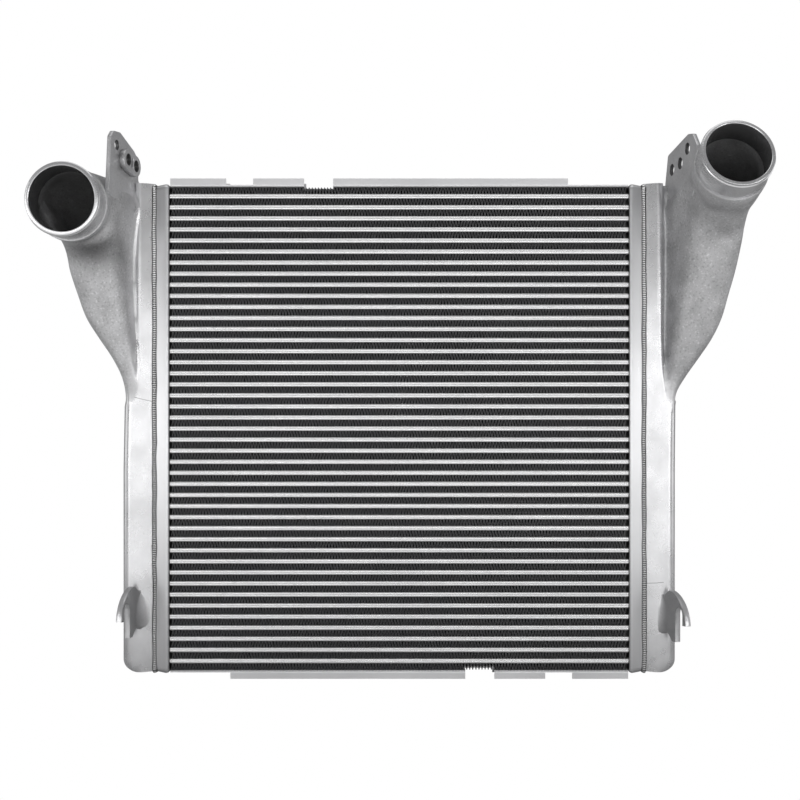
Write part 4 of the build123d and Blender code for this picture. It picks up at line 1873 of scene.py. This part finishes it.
@dataclass
class Studio:
    """Floor, backdrop, lights and camera, in metres.

    Args:
        floor_level: Height of the floor.
        floor_reach: Half its width.
        floor_tone: Its colour to all but the camera.
        world_tone: Colour of the backdrop to all but the camera.
        eye: Place of the camera.
        lens: Its focal length in millimetres.
    """

    floor_level: float = -0.0118
    floor_reach: float = 12.0
    floor_tone: tuple[float, ...] = (0.68, 0.68, 0.68, 1.0)
    world_tone: tuple[float, ...] = (0.29, 0.29, 0.292, 1.0)
    eye: tuple[float, float, float] = (0.0012, -2.241, 0.4011)
    lens: float = 67.5

    def build(self) -> None:
        """Sets everything round the object."""
        self.floor()
        self.world()
        self.lamp("front_low", (0.0, -3.2, 0.40), (0.0, 0.0, 0.40), (11.0, 0.95), 56.0)
        self.lamp("floor_glow", (0.0, -1.35, -0.008), (0.0, -1.35, 1.0), (3.4, 1.7), 9.0)
        for side in (-1, 1):
            place, aim = (side * 2.1, -1.9, 0.75), (side * 0.39, 0.0, 0.45)
            self.lamp(f"strip_{side + 1}", place, aim, (0.22, 1.5), 3.5)
        self.lamp("top", (0.0, -0.3, 2.6), (0.0, 0.0, 0.4), (2.2, 1.4), 8.0)
        self.lamp("left", (-2.4, 0.10, 0.60), (0.0, 0.10, 0.60), (1.3, 1.3), 5.0)
        self.lamp("right", (2.4, 0.10, 0.60), (0.0, 0.10, 0.60), (1.3, 1.3), 5.0)
        self.camera()
        bpy.context.scene.view_settings.view_transform = "Standard"
        bpy.context.view_layer.update()

    def floor(self) -> None:
        """Pale floor that is plain white to the camera."""
        nodes = Nodes("studio_floor")
        pale = nodes.add("ShaderNodeBsdfDiffuse", socket_Color=self.floor_tone)
        glow = nodes.add("ShaderNodeEmission", socket_Strength=1.0)
        self.split(nodes.tree, pale, glow, nodes.out)
        mesh = bpy.data.meshes.new("floor")
        ends = (-self.floor_reach, self.floor_reach)
        mesh.from_pydata([(x, y, self.floor_level) for y in ends for x in ends], [], [(0, 1, 3, 2)])
        mesh.materials.append(nodes.material)
        floor = put("floor", mesh)

    def world(self) -> None:
        """White to the camera and soft grey to everything else."""
        world = bpy.data.worlds.new("studio")
        world.use_nodes = True
        tree = world.node_tree
        tree.nodes.clear()
        seen = tree.nodes.new("ShaderNodeBackground")
        seen.inputs["Color"].default_value = (1, 1, 1, 1)
        light = tree.nodes.new("ShaderNodeBackground")
        light.inputs["Color"].default_value = self.world_tone
        self.split(tree, light, seen, tree.nodes.new("ShaderNodeOutputWorld"))
        bpy.context.scene.world = world

    @staticmethod
    def split(
        tree: bpy.types.NodeTree, other: bpy.types.Node, seen: bpy.types.Node, out: bpy.types.Node
    ) -> None:
        """Gives the camera one shader and all other rays another.

        Args:
            tree: The node tree.
            other: Shader for all other rays.
            seen: Shader for the camera.
            out: Output node.
        """
        path = tree.nodes.new("ShaderNodeLightPath")
        mix = tree.nodes.new("ShaderNodeMixShader")
        tree.links.new(path.outputs["Is Camera Ray"], mix.inputs["Fac"])
        tree.links.new(other.outputs[0], mix.inputs[1])
        tree.links.new(seen.outputs[0], mix.inputs[2])
        tree.links.new(mix.outputs["Shader"], out.inputs["Surface"])

    def lamp(
        self,
        name: str,
        place: tuple[float, float, float],
        aim: tuple[float, float, float],
        size: tuple[float, float],
        power: float,
    ) -> None:
        """Adds a soft lamp.

        Args:
            name: Its name.
            place: Where it stands.
            aim: Where it points.
            size: Its width and height in metres.
            power: Its power in watts.
        """
        data = bpy.data.lights.new(name, "AREA")
        data.shape = "RECTANGLE"
        data.size, data.size_y = size
        data.energy = power
        lamp = put(name, data)
        lamp.location = place
        lamp.visible_camera = False
        way = Vector(aim) - Vector(place)
        lamp.rotation_euler = way.to_track_quat("-Z", "Y").to_euler()

    def camera(self) -> None:
        """Camera level with the core's middle, looking along +Y."""
        data = bpy.data.cameras.new("camera")
        data.lens = self.lens
        data.sensor_width = 36.0
        data.clip_end = 60.0
        camera = put("camera", data)
        camera.location = self.eye
        camera.rotation_euler = (math.pi / 2, 0.0, 0.0)
        bpy.context.scene.camera = camera


# Whole


# The right casting's sandy skin has a darker tone than the left's: painted shade on the right tank
CAST = {
    Side.LEFT: CastFinish(
        "left_cast_skin", (0.70, 0.70, 0.71), 0.28, 0.88, sand=0.86, seam_level=0.398, seam_climb=0.25
    ),
    Side.RIGHT: CastFinish(
        "right_cast_skin", (0.70, 0.70, 0.71), 0.28, 0.88, sand=0.76, seam_level=0.131, seam_climb=0.10
    ),
}
MACHINED = SheetFinish("machined_land", (0.74, 0.74, 0.75), 0.25, 0.92, (1.0, 1.0, 1.0), 0.00005)
TUBE = SheetFinish("brazed_tube", (0.98, 0.98, 0.985), 0.27, 0.80)
HEADER = SheetFinish("pressed_header", (0.72, 0.72, 0.73), 0.31, 0.90, (1.0, 1.0, 0.03))
PLATE = SheetFinish("side_plate_sheet", (0.76, 0.76, 0.77), 0.40, 0.85)
# The fins' near-black base colour is painted shade: the folds sit deep in the gaps between the tubes
FIN = SheetFinish("folded_fin", (0.125, 0.125, 0.13), 0.50, 0.35)
WELD = SheetFinish("rippled_weld", (0.95, 0.95, 0.955), 0.24, 0.90, (1.0, 1.0, 1.0))


def main() -> None:
    """Builds the pieces in order and puts them on the frame."""
    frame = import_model()
    core = Core()
    header = HeaderSize()
    pieces = CorePieces(core, TUBE, FIN)
    pieces.tubes()
    pieces.fins()
    for side, size in ((Side.LEFT, LEFT_TANK), (Side.RIGHT, RIGHT_TANK)):
        HeaderPiece(side, header, core, HEADER).build()
        WeldBead(side, header, core, WELD).build()
        tank = TankPieces(size, header, CAST[side], MACHINED)
        tank.casting()
        tank.port_end()
    for name in ("top_side_plate", "bottom_side_plate", "turbulators"):
        node = frame["nodes"][name]
        node.data.materials.clear()
        node.data.materials.append(PLATE.material())
    Studio().build()


if __name__ == "__main__":
    main()
